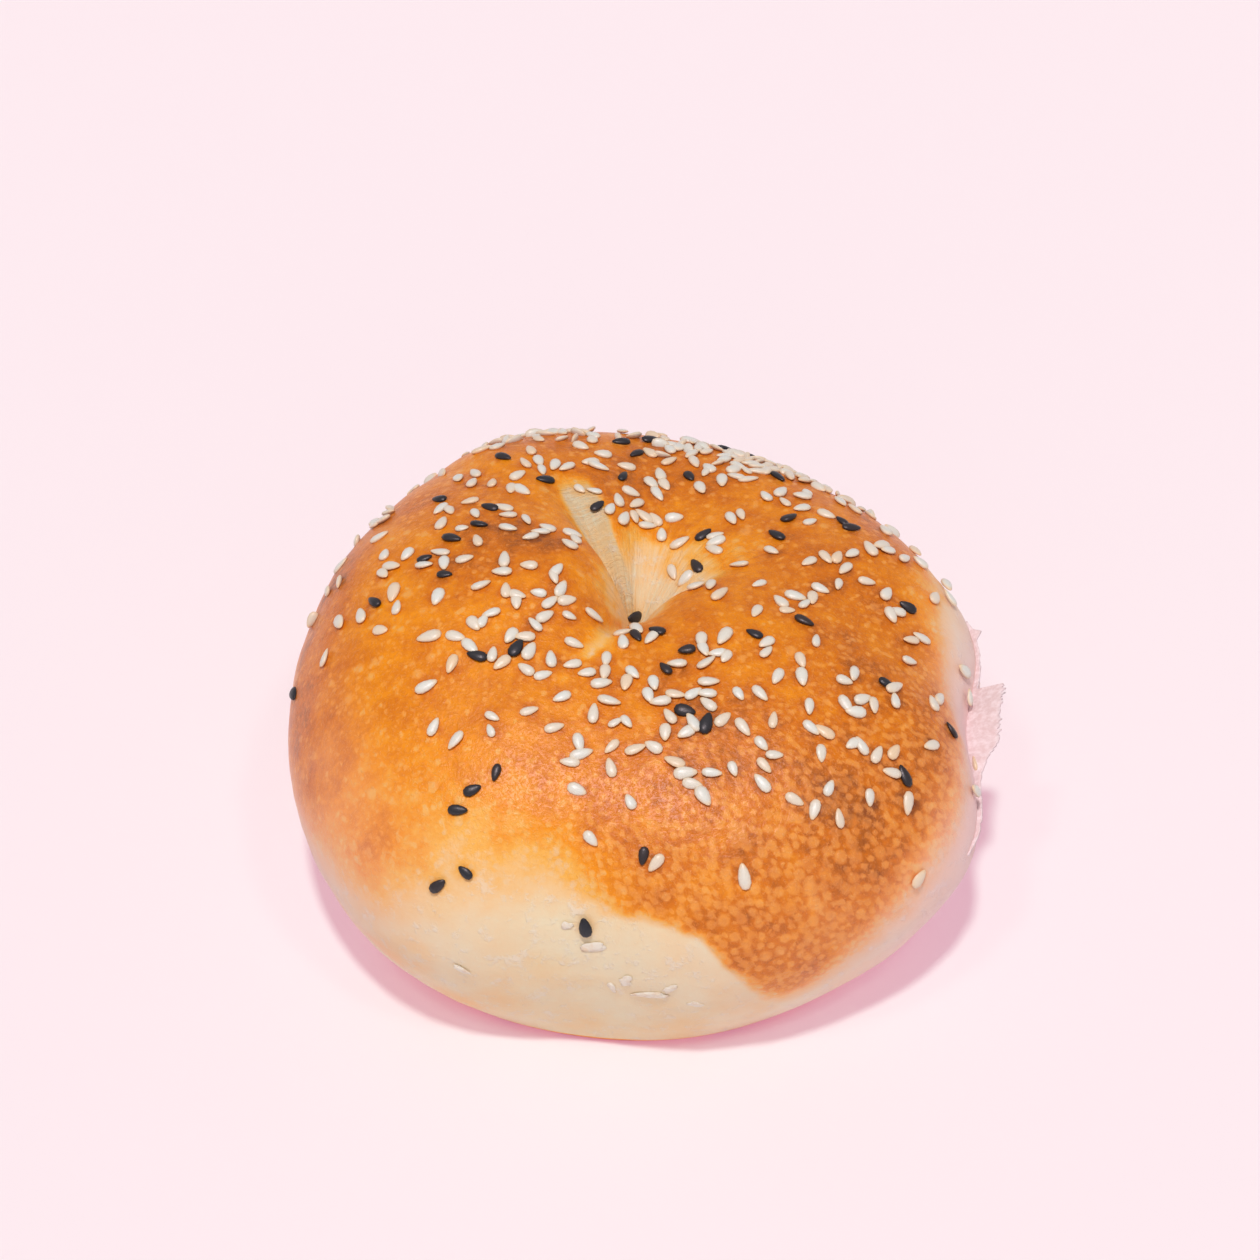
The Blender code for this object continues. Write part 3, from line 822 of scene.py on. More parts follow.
@dataclass(frozen=True)
class TornSkinFinish:
    """Thin dried skin of pale dough, a little pink, with fine creases across it."""

    name: str = "torn skin"
    pale: Colour = (0.90, 0.76, 0.79)
    dark: Colour = (0.76, 0.58, 0.59)
    crease: float = 0.8 * MM
    crease_stretch: tuple[float, float, float] = (0.25, 1.0, 1.6)
    crease_edge: Span = (0.35, 0.75)
    relief: float = 0.12
    dullness: float = 0.55

    def make(self) -> bpy.types.Material:
        """Return the material."""
        desk = Desk(self.name)
        drawn = desk.node("ShaderNodeMapping", {}, {"Vector": desk.place(), "Scale": self.crease_stretch})
        creases = desk.noise(drawn, self.crease, detail=4.0)
        colour = desk.mix(creases.between(*self.crease_edge), self.dark, self.pale)
        desk.bump(creases * self.relief, MM)
        desk.set(Base_Color=colour, Roughness=self.dullness)
        return desk.material


@dataclass(frozen=True)
class LooseDoughFinish:
    """Dry, floury shreds of dough."""

    name: str = "loose dough"
    light: Colour = (0.80, 0.74, 0.63)
    warm: Colour = (0.76, 0.60, 0.43)
    grain: float = 1.1 * MM
    grain_edge: Span = (0.4, 0.75)
    relief: float = 0.15
    dullness: float = 0.75

    def make(self) -> bpy.types.Material:
        """Return the material."""
        desk = Desk(self.name)
        grain = desk.noise(desk.place(), self.grain, detail=4.0)
        colour = desk.mix(grain.between(*self.grain_edge), self.light, self.warm)
        desk.bump(grain * self.relief, MM)
        desk.set(Base_Color=colour, Roughness=self.dullness)
        return desk.material


@dataclass(frozen=True)
class Blisters:
    """Small round bubbles in the crust: large and crowded at the lower right, small and sparse elsewhere."""

    ring: Ring
    zone_count: int = 8000
    other_count: int = 1500
    draw: int = 31
    zone_azimuth: float = 304.0
    zone_width: float = 30.0
    zone_station: float = 1.72
    zone_length: float = 0.22
    smallest: float = 0.50 * MM
    largest: float = 1.45 * MM
    overlap: float = 0.86
    rise: float = 0.18
    across_spread: float = 0.75
    along_spread: float = 0.8
    other_stations: Span = (1.05, 2.2)
    least_share: float = 0.15
    size_power: float = 0.7
    known_within: float = 1.6

    def zone(self, azimuth: float, station: float) -> float:
        """Return 1 in the middle of the place with large blisters, 0 far from it."""
        across = furrow(azimuth, self.zone_azimuth, self.zone_width)
        return float(across * math.exp(-(((station - self.zone_station) / self.zone_length) ** 2)))

    def places(self) -> list[tuple[np.ndarray, float, float, float]]:
        """Return each blister's centre, radius, rise and tone; none lies far over another one."""
        chance = np.random.default_rng(self.draw)
        centres, radii, rises, tones = [], [], [], []
        for number in range(self.zone_count + self.other_count):
            if number < self.zone_count:
                azimuth = math.radians(chance.normal(self.zone_azimuth, self.zone_width * self.across_spread))
                station = chance.normal(self.zone_station, self.zone_length * self.along_spread)
            else:
                azimuth = chance.uniform(0.0, math.tau)
                station = chance.uniform(*self.other_stations)
            share = self.least_share + (1.0 - self.least_share) * self.zone(azimuth, station)
            span = (self.largest - self.smallest) * share
            radius = self.smallest + span * chance.random() ** self.size_power
            centre = self.ring.skin(azimuth, station)
            if centres:
                gaps = np.linalg.norm(np.array(centres) - centre, axis=1)
                if (gaps < self.overlap * (np.array(radii) + radius)).any():
                    continue
            centres.append(centre)
            radii.append(radius)
            rises.append(self.rise * radius * share)
            tones.append(chance.uniform(-1.0, 1.0))
        return list(zip(centres, radii, rises, tones))

    def apply(self, points: np.ndarray) -> tuple[np.ndarray, np.ndarray, np.ndarray]:
        """Find the blisters at each vertex.

        Args:
            points: The vertices of the dough.

        Returns:
            For each vertex how far it is lifted, how far it lies from a blister's centre, counted in that
            blister's radii, and the blister's tone.
        """
        tree = KDTree(len(points))
        for index, point in enumerate(points):
            tree.insert(point, index)
        tree.balance()
        lift = np.zeros(len(points))
        nearness = np.full(len(points), self.known_within)
        tone = np.zeros(len(points))
        for centre, radius, rise, blister_tone in self.places():
            for _, index, distance in tree.find_range(centre, radius * self.known_within):
                across = distance / radius
                lift[index] = max(lift[index], rise * (1.0 - across * across))
                if across < nearness[index]:
                    nearness[index] = across
                    tone[index] = blister_tone
        return lift, nearness, tone


@dataclass(frozen=True)
class Patch:
    """A place on the skin that baked more, or less, than what is round it, or that is darker as painted
    shade.
    """

    azimuth: float
    width: float
    station: float
    length: float
    strength: float

    def share(self, azimuth: np.ndarray, station: np.ndarray) -> np.ndarray:
        """Return what the patch adds to the browning."""
        along = np.exp(-(((station - self.station) / self.length) ** 2))
        return self.strength * furrow(azimuth, self.azimuth, self.width) * along


@dataclass(frozen=True)
class PinkReflection:
    """Painted pink reflection of the floor on one side, dull and pinkish, which sets in over a span of
    stations.
    """

    azimuth: float
    width: float
    span: Span
    strength: float

    def share(self, azimuth: np.ndarray, station: np.ndarray) -> np.ndarray:
        """Return how strong the painted pink reflection of the floor is, from 0 to 1."""
        return self.strength * furrow(azimuth, self.azimuth, self.width) * ramp(station, *self.span)


@dataclass(frozen=True)
class PaleFold:
    """The pale fold that runs from the navel to the far left, wide at the navel and narrow at its end."""

    azimuth: float = 101.0
    swing: float = 10.0
    swing_span: Span = (0.30, 0.75)
    width: float = 9.5
    wider: float = 5.0
    wide_until: Span = (0.15, 0.5)
    narrower: float = 3.0
    narrow_from: Span = (0.95, 1.1)
    edge: Span = (0.65, 1.15)
    start: Span = (0.05, 0.25)
    end: Span = (1.05, 1.12)

    def share(self, azimuth: np.ndarray, station: np.ndarray) -> np.ndarray:
        """Return 1 in the fold, 0 away from it."""
        middle = self.azimuth + self.swing * ramp(station, *self.swing_span)
        width = self.width + self.wider * (1.0 - ramp(station, *self.wide_until))
        width = width - self.narrower * ramp(station, *self.narrow_from)
        across = 1.0 - ramp(np.abs(turn_from(azimuth, middle)) / width, *self.edge)
        return across * (1.0 - ramp(station, *self.end)) * ramp(station, *self.start)


@dataclass(frozen=True)
class PaleDimple:
    """How pale the dimple stayed: most in the fold, the wall and the navel, less on the wall's ridge."""

    ring: Ring
    fold: PaleFold
    fold_paleness: float = 0.84
    wall_paleness: float = 0.84
    wall_end: Span = (0.42, 1.08)
    ridge_azimuth: float = 99.0
    ridge_width: float = 7.0
    ridge_share: float = 0.5
    ridge_start: Span = (0.4, 0.7)
    crease_paleness: float = 0.55
    crease_width: float = 9.0
    crease_end: Span = (1.04, 1.15)
    navel_paleness: float = 0.66
    navel_end: Span = (0.2, 0.62)
    wander: float = 0.16

    def share(self, azimuth: np.ndarray, station: np.ndarray, jitter: np.ndarray) -> np.ndarray:
        """Return how pale the skin stayed, from 0 to 1."""
        wandering = station + self.wander * jitter
        wall = self.ring.funnel_share(azimuth) * (1.0 - ramp(wandering, *self.wall_end)) * self.wall_paleness
        ridge = furrow(azimuth, self.ridge_azimuth, self.ridge_width) * ramp(station, *self.ridge_start)
        wall = wall * (1.0 - self.ridge_share * ridge)
        crease = furrow(azimuth, self.ring.crease_azimuth, self.crease_width)
        crease = crease * (1.0 - ramp(wandering, *self.crease_end)) * self.crease_paleness
        navel = (1.0 - ramp(wandering, *self.navel_end)) * self.navel_paleness
        fold = self.fold.share(azimuth, station) * self.fold_paleness
        return np.maximum.reduce([wall, crease, navel, fold])


@dataclass(frozen=True)
class Baking:
    """How the oven browned the skin, with painted shade darkening the far left edge: 0 is pale dough, about
    0.55 is golden and 1 is scorched.
    """

    ring: Ring
    golden: float = 0.57
    cloud_size: float = 15.0 * MM
    cloud_tone: float = 0.09
    small_cloud_size: float = 5.0 * MM
    small_cloud_tone: float = 0.05
    pale_line: float = 36.0 * MM
    line_waves: Waves = ((3, 0.6 * MM, -0.4 * MM), (5, -0.5 * MM, 0.4 * MM))
    dips: Bells = (
        (297.0, 12.5, 19.0 * MM), (316.0, 16.0, 9.5 * MM), (340.0, 14.0, 1.5 * MM), (14.0, 12.0, -5.0 * MM),
        (266.0, 18.0, 2.0 * MM), (224.0, 9.0, 5.5 * MM), (196.0, 24.0, 13.0 * MM),
        (132.0, 20.0, 15.0 * MM), (55.0, 19.0, 12.0 * MM), (92.0, 10.0, 5.0 * MM),
    )
    soft_edge: float = 6.0 * MM
    softer_edges: Bells = ((222.0, 32.0, 7.0 * MM), (324.0, 24.0, 4.0 * MM))
    warm_azimuth: float = 226.0
    warm_width: float = 20.0
    warmth: float = 0.13
    warm_size: float = 6.0 * MM
    warm_span: Span = (-0.3, 0.5)
    sharp_edge: float = 1.2 * MM
    sharp_azimuth: float = 278.0
    sharp_width: float = 20.0
    band: float = 0.12
    band_middle: float = 1.5
    band_width: float = 1.6
    fine_size: float = 2.6 * MM
    fine_wander: float = 0.9 * MM
    coarse_size: float = 9.0 * MM
    coarse_wander: float = 1.5 * MM
    patches: tuple[Patch, ...] = (
        Patch(90.0, 7.0, 1.13, 0.12, 0.12),
        Patch(100.0, 6.0, 0.98, 0.16, 0.06),
        Patch(60.0, 50.0, 1.25, 0.35, 0.05),
        Patch(158.0, 16.0, 1.10, 0.17, 0.20),
        Patch(176.0, 10.0, 1.17, 0.12, 0.14),
        Patch(314.0, 34.0, 1.62, 0.36, 0.15),
        Patch(0.0, 30.0, 1.30, 0.25, 0.06),
        Patch(324.0, 16.0, 1.74, 0.18, 0.05),
        Patch(284.0, 15.0, 1.56, 0.15, 0.07),
        Patch(288.0, 18.0, 1.30, 0.18, 0.10),
        # painted shade: the far left edge darker, where the side turns away from the light
        Patch(185.0, 24.0, 1.80, 0.20, 0.15),
        Patch(225.0, 34.0, 1.50, 0.28, -0.03),
        Patch(240.0, 22.0, 1.60, 0.13, -0.16),
        Patch(244.8, 9.0, 1.97, 0.10, 0.15),
        Patch(35.0, 12.0, 1.75, 0.15, 0.08),
        Patch(150.0, 18.0, 1.70, 0.20, 0.10),
    )
    pale: float = 0.05
    pale_spread: float = 0.06
    under: float = 0.70
    under_spread: float = 0.12
    under_start: Span = (2.79, 2.84)
    funnel_start: Span = (0.02, 0.2)
    funnel_end: Span = (0.85, 1.25)
    fold: PaleFold = PaleFold()
    # painted pink reflection of the floor: strong on the right side, weaker at the left edge
    pink_reflections: tuple[PinkReflection, ...] = (
        PinkReflection(350.0, 44.0, (1.42, 1.90), 1.0),
        PinkReflection(194.0, 30.0, (1.45, 1.85), 0.70),
    )

    def line(self, azimuth: np.ndarray) -> np.ndarray:
        """Return the height below which the side stayed pale, because it baked against its neighbours."""
        return self.pale_line + waves(azimuth, self.line_waves) - bells(azimuth, self.dips)

    def funnel(self, azimuth: np.ndarray, station: np.ndarray) -> np.ndarray:
        """Return 1 on the dimple's stretched wall, 0 away from it."""
        inside = self.ring.funnel_share(azimuth) * (1.0 - ramp(station, *self.funnel_end))
        return inside * ramp(station, *self.funnel_start)

    def pink_reflection(self, azimuth: np.ndarray, station: np.ndarray) -> np.ndarray:
        """Return how strong the painted pink reflection of the floor is: most on the right side, less on the
        left side, not at all in front.
        """
        return np.maximum.reduce([pink_reflection.share(azimuth, station) for pink_reflection in self.pink_reflections])

    def browning_and_shade(self, azimuth: np.ndarray, station: np.ndarray, points: np.ndarray) -> np.ndarray:
        """Return how far the skin is baked, with painted shade at the far left edge.

        Args:
            azimuth: The vertices' azimuths in radians.
            station: Their stations.
            points: Their places.

        Returns:
            One number for each vertex.
        """
        fine = noise_at(points, self.fine_size)
        coarse = noise_at(points, self.coarse_size)
        jitter = fine * self.fine_wander + coarse * self.coarse_wander
        sharp = furrow(azimuth, self.sharp_azimuth, self.sharp_width)
        softness = self.soft_edge + (self.sharp_edge - self.soft_edge) * sharp
        softness = softness + bells(azimuth, self.softer_edges)
        above = (points[:, 2] + jitter - self.line(azimuth)) / softness
        tone = self.golden + self.cloud_tone * noise_at(points, self.cloud_size)
        tone = tone + self.small_cloud_tone * noise_at(points, self.small_cloud_size)
        tone = tone + sum(patch.share(azimuth, station) for patch in self.patches)
        tone = tone + self.band * sharp * np.exp(-(((above - self.band_middle) / self.band_width) ** 2))
        warm = self.warmth * furrow(azimuth, self.warm_azimuth, self.warm_width)
        warm = warm * ramp(noise_at(points, self.warm_size), *self.warm_span)
        pale = self.pale + self.pale_spread * coarse + warm
        tone = np.maximum(tone * smooth_step(above * 0.5 + 0.5), pale)
        tone = tone * (1.0 - PaleDimple(self.ring, self.fold).share(azimuth, station, fine))
        under = self.under + self.under_spread * coarse
        edge = np.maximum(tone, under * ramp(station, *self.under_start))
        return np.where(station > BASE_STATION, under, edge)


@dataclass
class Dough:
    """The bagel's dough with its baked skin, in one closed mesh."""

    ring: Ring
    seeds: list
    segments: int = 500
    rings: int = 198
    wall_share: float = 0.17
    crown_share: float = 0.40
    belly_share: float = 0.31
    crowding: float = 0.22
    crowded_azimuth: float = 292.0
    lump_size: float = 13.0 * MM
    lump_height: float = 0.30 * MM
    wrinkle_size: float = 4.0 * MM
    wrinkle_height: float = 0.10 * MM
    ray_count: float = 26.0
    ray_height: float = 0.14 * MM
    ray_start: Span = (0.04, 0.25)
    ray_end: Span = (0.8, 1.25)
    pale_sunk: float = 0.35 * MM
    sunk_until: Span = (0.15, 0.5)
    sunk_from: Span = (1.0, 1.2)
    blisters_from: Span = (0.15, 0.45)
    base_margin: Span = (0.2 * MM, 4.0 * MM)
    # painted contact shade: how much darker the skin is painted close round the seeds, and over what distance
    stain_and_seed_shade: float = 0.10
    seed_shade_span: Span = (0.84 * MM, 2.4 * MM)

    def build(self) -> bpy.types.Object:
        """Return the finished dough."""
        piece = self.start()
        azimuth, way = self.lay_out(piece.data)
        station = self.station(way)
        points = self.rest_on_skin(azimuth, station)
        write_points(piece.data, points)
        normals = read_normals(piece.data)
        baking = Baking(self.ring)
        # how far the skin browned, with painted contact shade round the seeds added
        browning_and_shade = baking.browning_and_shade(azimuth, station, points) + self.stains_and_seed_shade(points)
        lift, nearness, tone = Blisters(self.ring).apply(points)
        lift = lift * ramp(browning_and_shade, *self.blisters_from) + self.relief(azimuth, station, points, browning_and_shade)
        clear_of_base = ramp(points[:, 2], *self.base_margin)
        write_points(piece.data, points + normals * (lift * clear_of_base)[:, None])
        store(piece.data, "browning_and_shade", browning_and_shade)
        store(piece.data, "funnel", baking.funnel(azimuth, station))
        store(piece.data, "fold", baking.fold.share(azimuth, station))
        # painted pink reflection of the floor, which the crust mixes in
        store(piece.data, "pink_reflection", baking.pink_reflection(azimuth, station))
        store(piece.data, "blister", nearness)
        store(piece.data, "blister_tone", tone)
        piece.data.shade_smooth()
        navel = (self.ring.centre[0] + self.ring.navel[0], self.ring.centre[1] + self.ring.navel[1])
        piece.data.materials.append(CrustFinish().make(navel))
        return piece

    def start(self) -> bpy.types.Object:
        """Return a sphere at the origin, whose rings become the rings of the skin."""
        deselect_all()
        bpy.ops.mesh.primitive_uv_sphere_add(segments=self.segments, ring_count=self.rings, radius=1.0)
        piece = bpy.context.active_object
        piece.name = "dough"
        return piece

    def lay_out(self, mesh: bpy.types.Mesh) -> tuple[np.ndarray, np.ndarray]:
        """Return each vertex's azimuth, closer together at the front, and its way from top to bottom."""
        points = read_points(mesh)
        azimuth = np.arctan2(points[:, 1], points[:, 0])
        azimuth = azimuth - self.crowding * np.sin(azimuth - math.radians(self.crowded_azimuth))
        way = np.arccos(np.clip(points[:, 2], -1.0, 1.0)) / math.pi
        return azimuth, way

    def station(self, way: np.ndarray) -> np.ndarray:
        """Return the station of a way from 0, the top, to 1, the bottom: 3 to 5 is the underside."""
        crown_end = self.wall_share + self.crown_share
        belly_end = crown_end + self.belly_share
        return np.interp(way, (0.0, self.wall_share, crown_end, belly_end, 1.0), (0.0, 1.0, 2.0, 3.0, 5.0))

    def rest_on_skin(self, azimuth: np.ndarray, station: np.ndarray) -> np.ndarray:
        """Return the place of each vertex on the skin or the underside."""
        upper = self.ring.skin(azimuth, np.minimum(station, BASE_STATION))
        lower = self.ring.underside(azimuth, np.maximum(station - BASE_STATION, 0.0))
        return np.where((station <= BASE_STATION)[:, None], upper, lower)

    def stains_and_seed_shade(self, points: np.ndarray) -> np.ndarray:
        """Return how much darker the skin is painted close round the seeds: painted contact shade."""
        tree = KDTree(len(self.seeds))
        for index, (point, _, _) in enumerate(self.seeds):
            tree.insert(point, index)
        tree.balance()
        distance = np.array([tree.find(Vector(point))[2] for point in points])
        return self.stain_and_seed_shade * (1.0 - ramp(distance, *self.seed_shade_span))

    def relief(
        self, azimuth: np.ndarray, station: np.ndarray, points: np.ndarray, browning_and_shade: np.ndarray
    ) -> np.ndarray:
        """Return how far lumps, wrinkles and stretch lines lift the skin, less how far pale skin is sunk."""
        lumps = noise_at(points, self.lump_size) * self.lump_height
        wrinkles = noise_at(points, self.wrinkle_size) * self.wrinkle_height
        near = (1.0 - ramp(station, *self.ray_end)) * ramp(station, *self.ray_start)
        turned = self.ray_count / math.tau
        circle = np.stack([np.cos(azimuth) * turned, np.sin(azimuth) * turned, 0.0 * azimuth], axis=-1)
        rays = noise_at(circle, 1.0) * self.ray_height * near
        sunk = self.pale_sunk * (1.0 - ramp(browning_and_shade, *self.sunk_until)) * ramp(station, *self.sunk_from)
        return lumps + wrinkles + rays - sunk


@dataclass
class Seeds:
    """All the seeds of one kind, modelled once and copied."""

    kind: SeedKind
    finish: SeedFinish
    length: float = 3.3 * MM
    width: float = 1.75 * MM
    thickness: float = 0.85 * MM
    segments: int = 10
    rings: int = 6
    taper: float = 0.32
    shape_spread: float = 0.06
    rim_edge: Span = (0.75, 1.0)
    rim_share: float = 0.7
    tip_edge: Span = (0.2, 0.5)
    tip_share: float = 0.5
    toast_low: float = 1.0
    toast_high: float = 3.5
    draw: int = 7

    def pattern(self) -> bpy.types.Object:
        """Return one seed lying along X: a flattened drop, blunt at one end and pointed at the other."""
        deselect_all()
        bpy.ops.mesh.primitive_uv_sphere_add(
            segments=self.segments, ring_count=self.rings, radius=0.5, rotation=(0.0, math.pi / 2.0, 0.0)
        )
        seed = bpy.context.active_object
        bpy.ops.object.transform_apply(location=False, rotation=True, scale=False)
        points = read_points(seed.data)
        edge = np.hypot(points[:, 0], points[:, 1]) * 2.0
        rim = ramp(edge, *self.rim_edge) * self.rim_share
        rim = rim + ramp(points[:, 0], *self.tip_edge) * self.tip_share
        narrow = 1.0 - self.taper * 2.0 * points[:, 0]
        points[:, 1:] *= narrow[:, None]
        points *= np.array([self.length, self.width, self.thickness])
        write_points(seed.data, points)
        store(seed.data, "rim", np.clip(rim, 0.0, 1.0))
        return seed

    def build(self, places: list) -> bpy.types.Object:
        """Return the piece.

        Args:
            places: The point, matrix and kind of every seed on the bagel.

        Returns:
            One object with all seeds of this kind.
        """
        chance = np.random.default_rng(self.draw)
        pattern = self.pattern()
        copies = []
        for _, matrix, kind in places:
            if kind is not self.kind:
                continue
            seed = bpy.data.objects.new(self.kind.value, pattern.data.copy())
            toast = chance.beta(self.toast_low, self.toast_high)
            store(seed.data, "toast", np.full(len(seed.data.vertices), toast))
            stretch = Vector(chance.normal(1.0, self.shape_spread, 3))
            seed.data.transform(matrix @ Matrix.Diagonal((*stretch, 1.0)))
            bpy.context.scene.collection.objects.link(seed)
            copies.append(seed)
        bpy.data.objects.remove(pattern)
        piece = join(copies)
        piece.name = self.kind.value
        piece.data.shade_smooth()
        piece.data.materials.append(self.finish.make())
        return piece


@dataclass
class TornSkin:
    """The ragged flake of dried skin on the right side, where a neighbour was torn off."""

    ring: Ring
    first: float = -27.0
    last: float = 18.5
    station: float = 1.885
    slope: float = 0.0025
    steps_along: int = 150
    steps_out: int = 8
    corner: float = 4.4
    foot: float = -6.5
    reach: float = 5.2 * MM
    tail: float = 4.5
    spike_azimuth: float = 15.5
    spike: float = 1.2 * MM
    start_fade: float = 4.0
    end_fade: float = 2.0
    raggedness: float = 0.55 * MM
    coarse_pitch: float = 1.1
    coarse_row: float = 3.0
    fine_pitch: float = 4.3
    fine_row: float = 9.0
    fine_share: float = 0.5
    least_reach: float = 0.8
    reach_spread: float = 0.3
    root: float = 1.0 * MM
    rise: float = 0.35
    thickness: float = 0.28 * MM
    ripple: float = 0.28 * MM
    ripple_pitch: float = 0.5
    ripple_across: float = 2.0
    ripple_row: float = 5.0

    def jag(self, degrees: float, pitch: float, row: float) -> float:
        """Return a number from 0 to 1 that changes at random along the root, on one row of noise."""
        return 0.5 + 0.5 * noise.noise(Vector((degrees * pitch, row, 0.0)))

    def out(self, degrees: float) -> float:
        """Return how far the flake stands out at an azimuth in degrees."""
        main = 0.0
        if degrees < self.corner:
            main = self.reach * math.exp(-((max(0.0, self.foot - degrees) / self.tail) ** 2))
        spike = self.spike * max(0.0, 1.0 - abs(degrees - self.spike_azimuth))
        coarse = self.jag(degrees, self.coarse_pitch, self.coarse_row)
        fine = self.jag(degrees, self.fine_pitch, self.fine_row)
        ragged = self.raggedness * (coarse + self.fine_share * fine)
        start = ramp(degrees, self.first, self.first + self.start_fade)
        end = 1.0 - ramp(degrees, self.last - self.end_fade, self.last)
        return (main * (self.least_reach + self.reach_spread * fine) + spike + ragged) * float(start * end)

    def place(self, along: float, outward: float) -> Vector:
        """Return a point of the flake.

        Args:
            along: From 0 to 1 along its root.
            outward: From 0 at its root inside the dough to 1 at its torn edge.

        Returns:
            The point.
        """
        degrees = self.first + (self.last - self.first) * along
        point, normal, _ = self.ring.frame(math.radians(degrees), self.station - self.slope * degrees)
        lifted = (normal + Vector((0.0, 0.0, self.rise))).normalized()
        across = outward * self.ripple_across
        wave = noise.noise(Vector((degrees * self.ripple_pitch, across, self.ripple_row)))
        bend = self.ripple * wave * outward
        reach = outward * (self.out(degrees) + self.root) - self.root
        return point + lifted * reach + Vector((0.0, 0.0, bend))

    def build(self) -> bpy.types.Object:
        """Return the piece."""
        deselect_all()
        bpy.ops.mesh.primitive_grid_add(
            x_subdivisions=self.steps_along, y_subdivisions=self.steps_out, size=1.0
        )
        piece = bpy.context.active_object
        piece.name = "torn_skin"
        points = read_points(piece.data) + np.array([0.5, 0.5, 0.0])
        write_points(piece.data, np.array([self.place(along, outward) for along, outward, _ in points]))
        wall = piece.modifiers.new("thickness", "SOLIDIFY")
        wall.thickness = self.thickness
        wall.offset = 0.0
        apply_modifier(piece, wall)
        piece.data.shade_smooth()
        piece.data.materials.append(TornSkinFinish().make())
        return piece


@dataclass(frozen=True)
class Shred:
    """One shred of loose dough on the skin."""

    azimuth: float
    station: float
    length: float
    width: float
    turn: float


@dataclass
class LooseDough:
    """Small dry shreds of dough that cling to the pale side."""

    ring: Ring
    shreds: tuple[Shred, ...] = (
        Shred(262.8, 1.90, 3.9 * MM, 1.5 * MM, 8.0),
        Shred(257.6, 1.83, 1.7 * MM, 1.2 * MM, 0.0),
        Shred(268.5, 2.03, 2.2 * MM, 1.7 * MM, 60.0),
        Shred(273.0, 2.16, 5.4 * MM, 1.4 * MM, 8.0),
        Shred(276.5, 2.07, 2.8 * MM, 1.3 * MM, 40.0),
        Shred(266.0, 2.13, 2.6 * MM, 1.0 * MM, 110.0),
        Shred(281.0, 2.23, 2.4 * MM, 1.4 * MM, 160.0),
        Shred(240.3, 2.03, 2.6 * MM, 1.1 * MM, 150.0),
        Shred(12.0, 2.10, 3.2 * MM, 1.3 * MM, 80.0),
        Shred(28.0, 2.02, 2.1 * MM, 1.4 * MM, 20.0),
        Shred(96.0, 1.95, 3.6 * MM, 1.3 * MM, 10.0),
        Shred(104.0, 2.12, 2.4 * MM, 1.5 * MM, 70.0),
        Shred(166.0, 2.06, 3.3 * MM, 1.2 * MM, 35.0),
    )
    thickness: float = 0.30 * MM
    roughness: float = 0.60
    rough_axes: tuple[float, float, float] = (1.0, 1.0, 0.3)
    lumps: float = 2.6
    lump_step: float = 7.0
    sink: float = 0.55

    def build(self) -> bpy.types.Object:
        """Return the piece."""
        pieces = [self.shred(number, shred) for number, shred in enumerate(self.shreds)]
        piece = join(pieces)
        piece.name = "loose_dough"
        piece.data.shade_smooth()
        piece.data.materials.append(LooseDoughFinish().make())
        return piece

    def shred(self, number: int, shred: Shred) -> bpy.types.Object:
        """Return one shred: a flat lump, drawn out and ragged."""
        deselect_all()
        bpy.ops.mesh.primitive_ico_sphere_add(subdivisions=3, radius=0.5)
        piece = bpy.context.active_object
        points = read_points(piece.data)
        rough = noise_at(points * self.lumps + number * self.lump_step, 1.0)
        points = points * (1.0 + self.roughness * rough[:, None] * np.array(self.rough_axes))
        points = points * np.array([shred.length, shred.width, self.thickness])
        write_points(piece.data, points)
        point, normal, along = self.ring.frame(math.radians(shred.azimuth), shred.station)
        length = Matrix.Rotation(math.radians(shred.turn), 3, normal) @ along
        axes = Matrix((length, normal.cross(length), normal)).transposed().to_4x4()
        piece.data.transform(Matrix.Translation(point - normal * self.thickness * self.sink) @ axes)
        return piece


@dataclass(frozen=True)
class Lamp:
    """A far light that shines from an azimuth and an elevation, as wide as an angle, all in degrees."""

    name: str
    azimuth: float
    elevation: float
    strength: float
    angle: float
    colour: Colour = (1.0, 0.99, 0.97)
    lights: bool = True
    gleams: bool = True


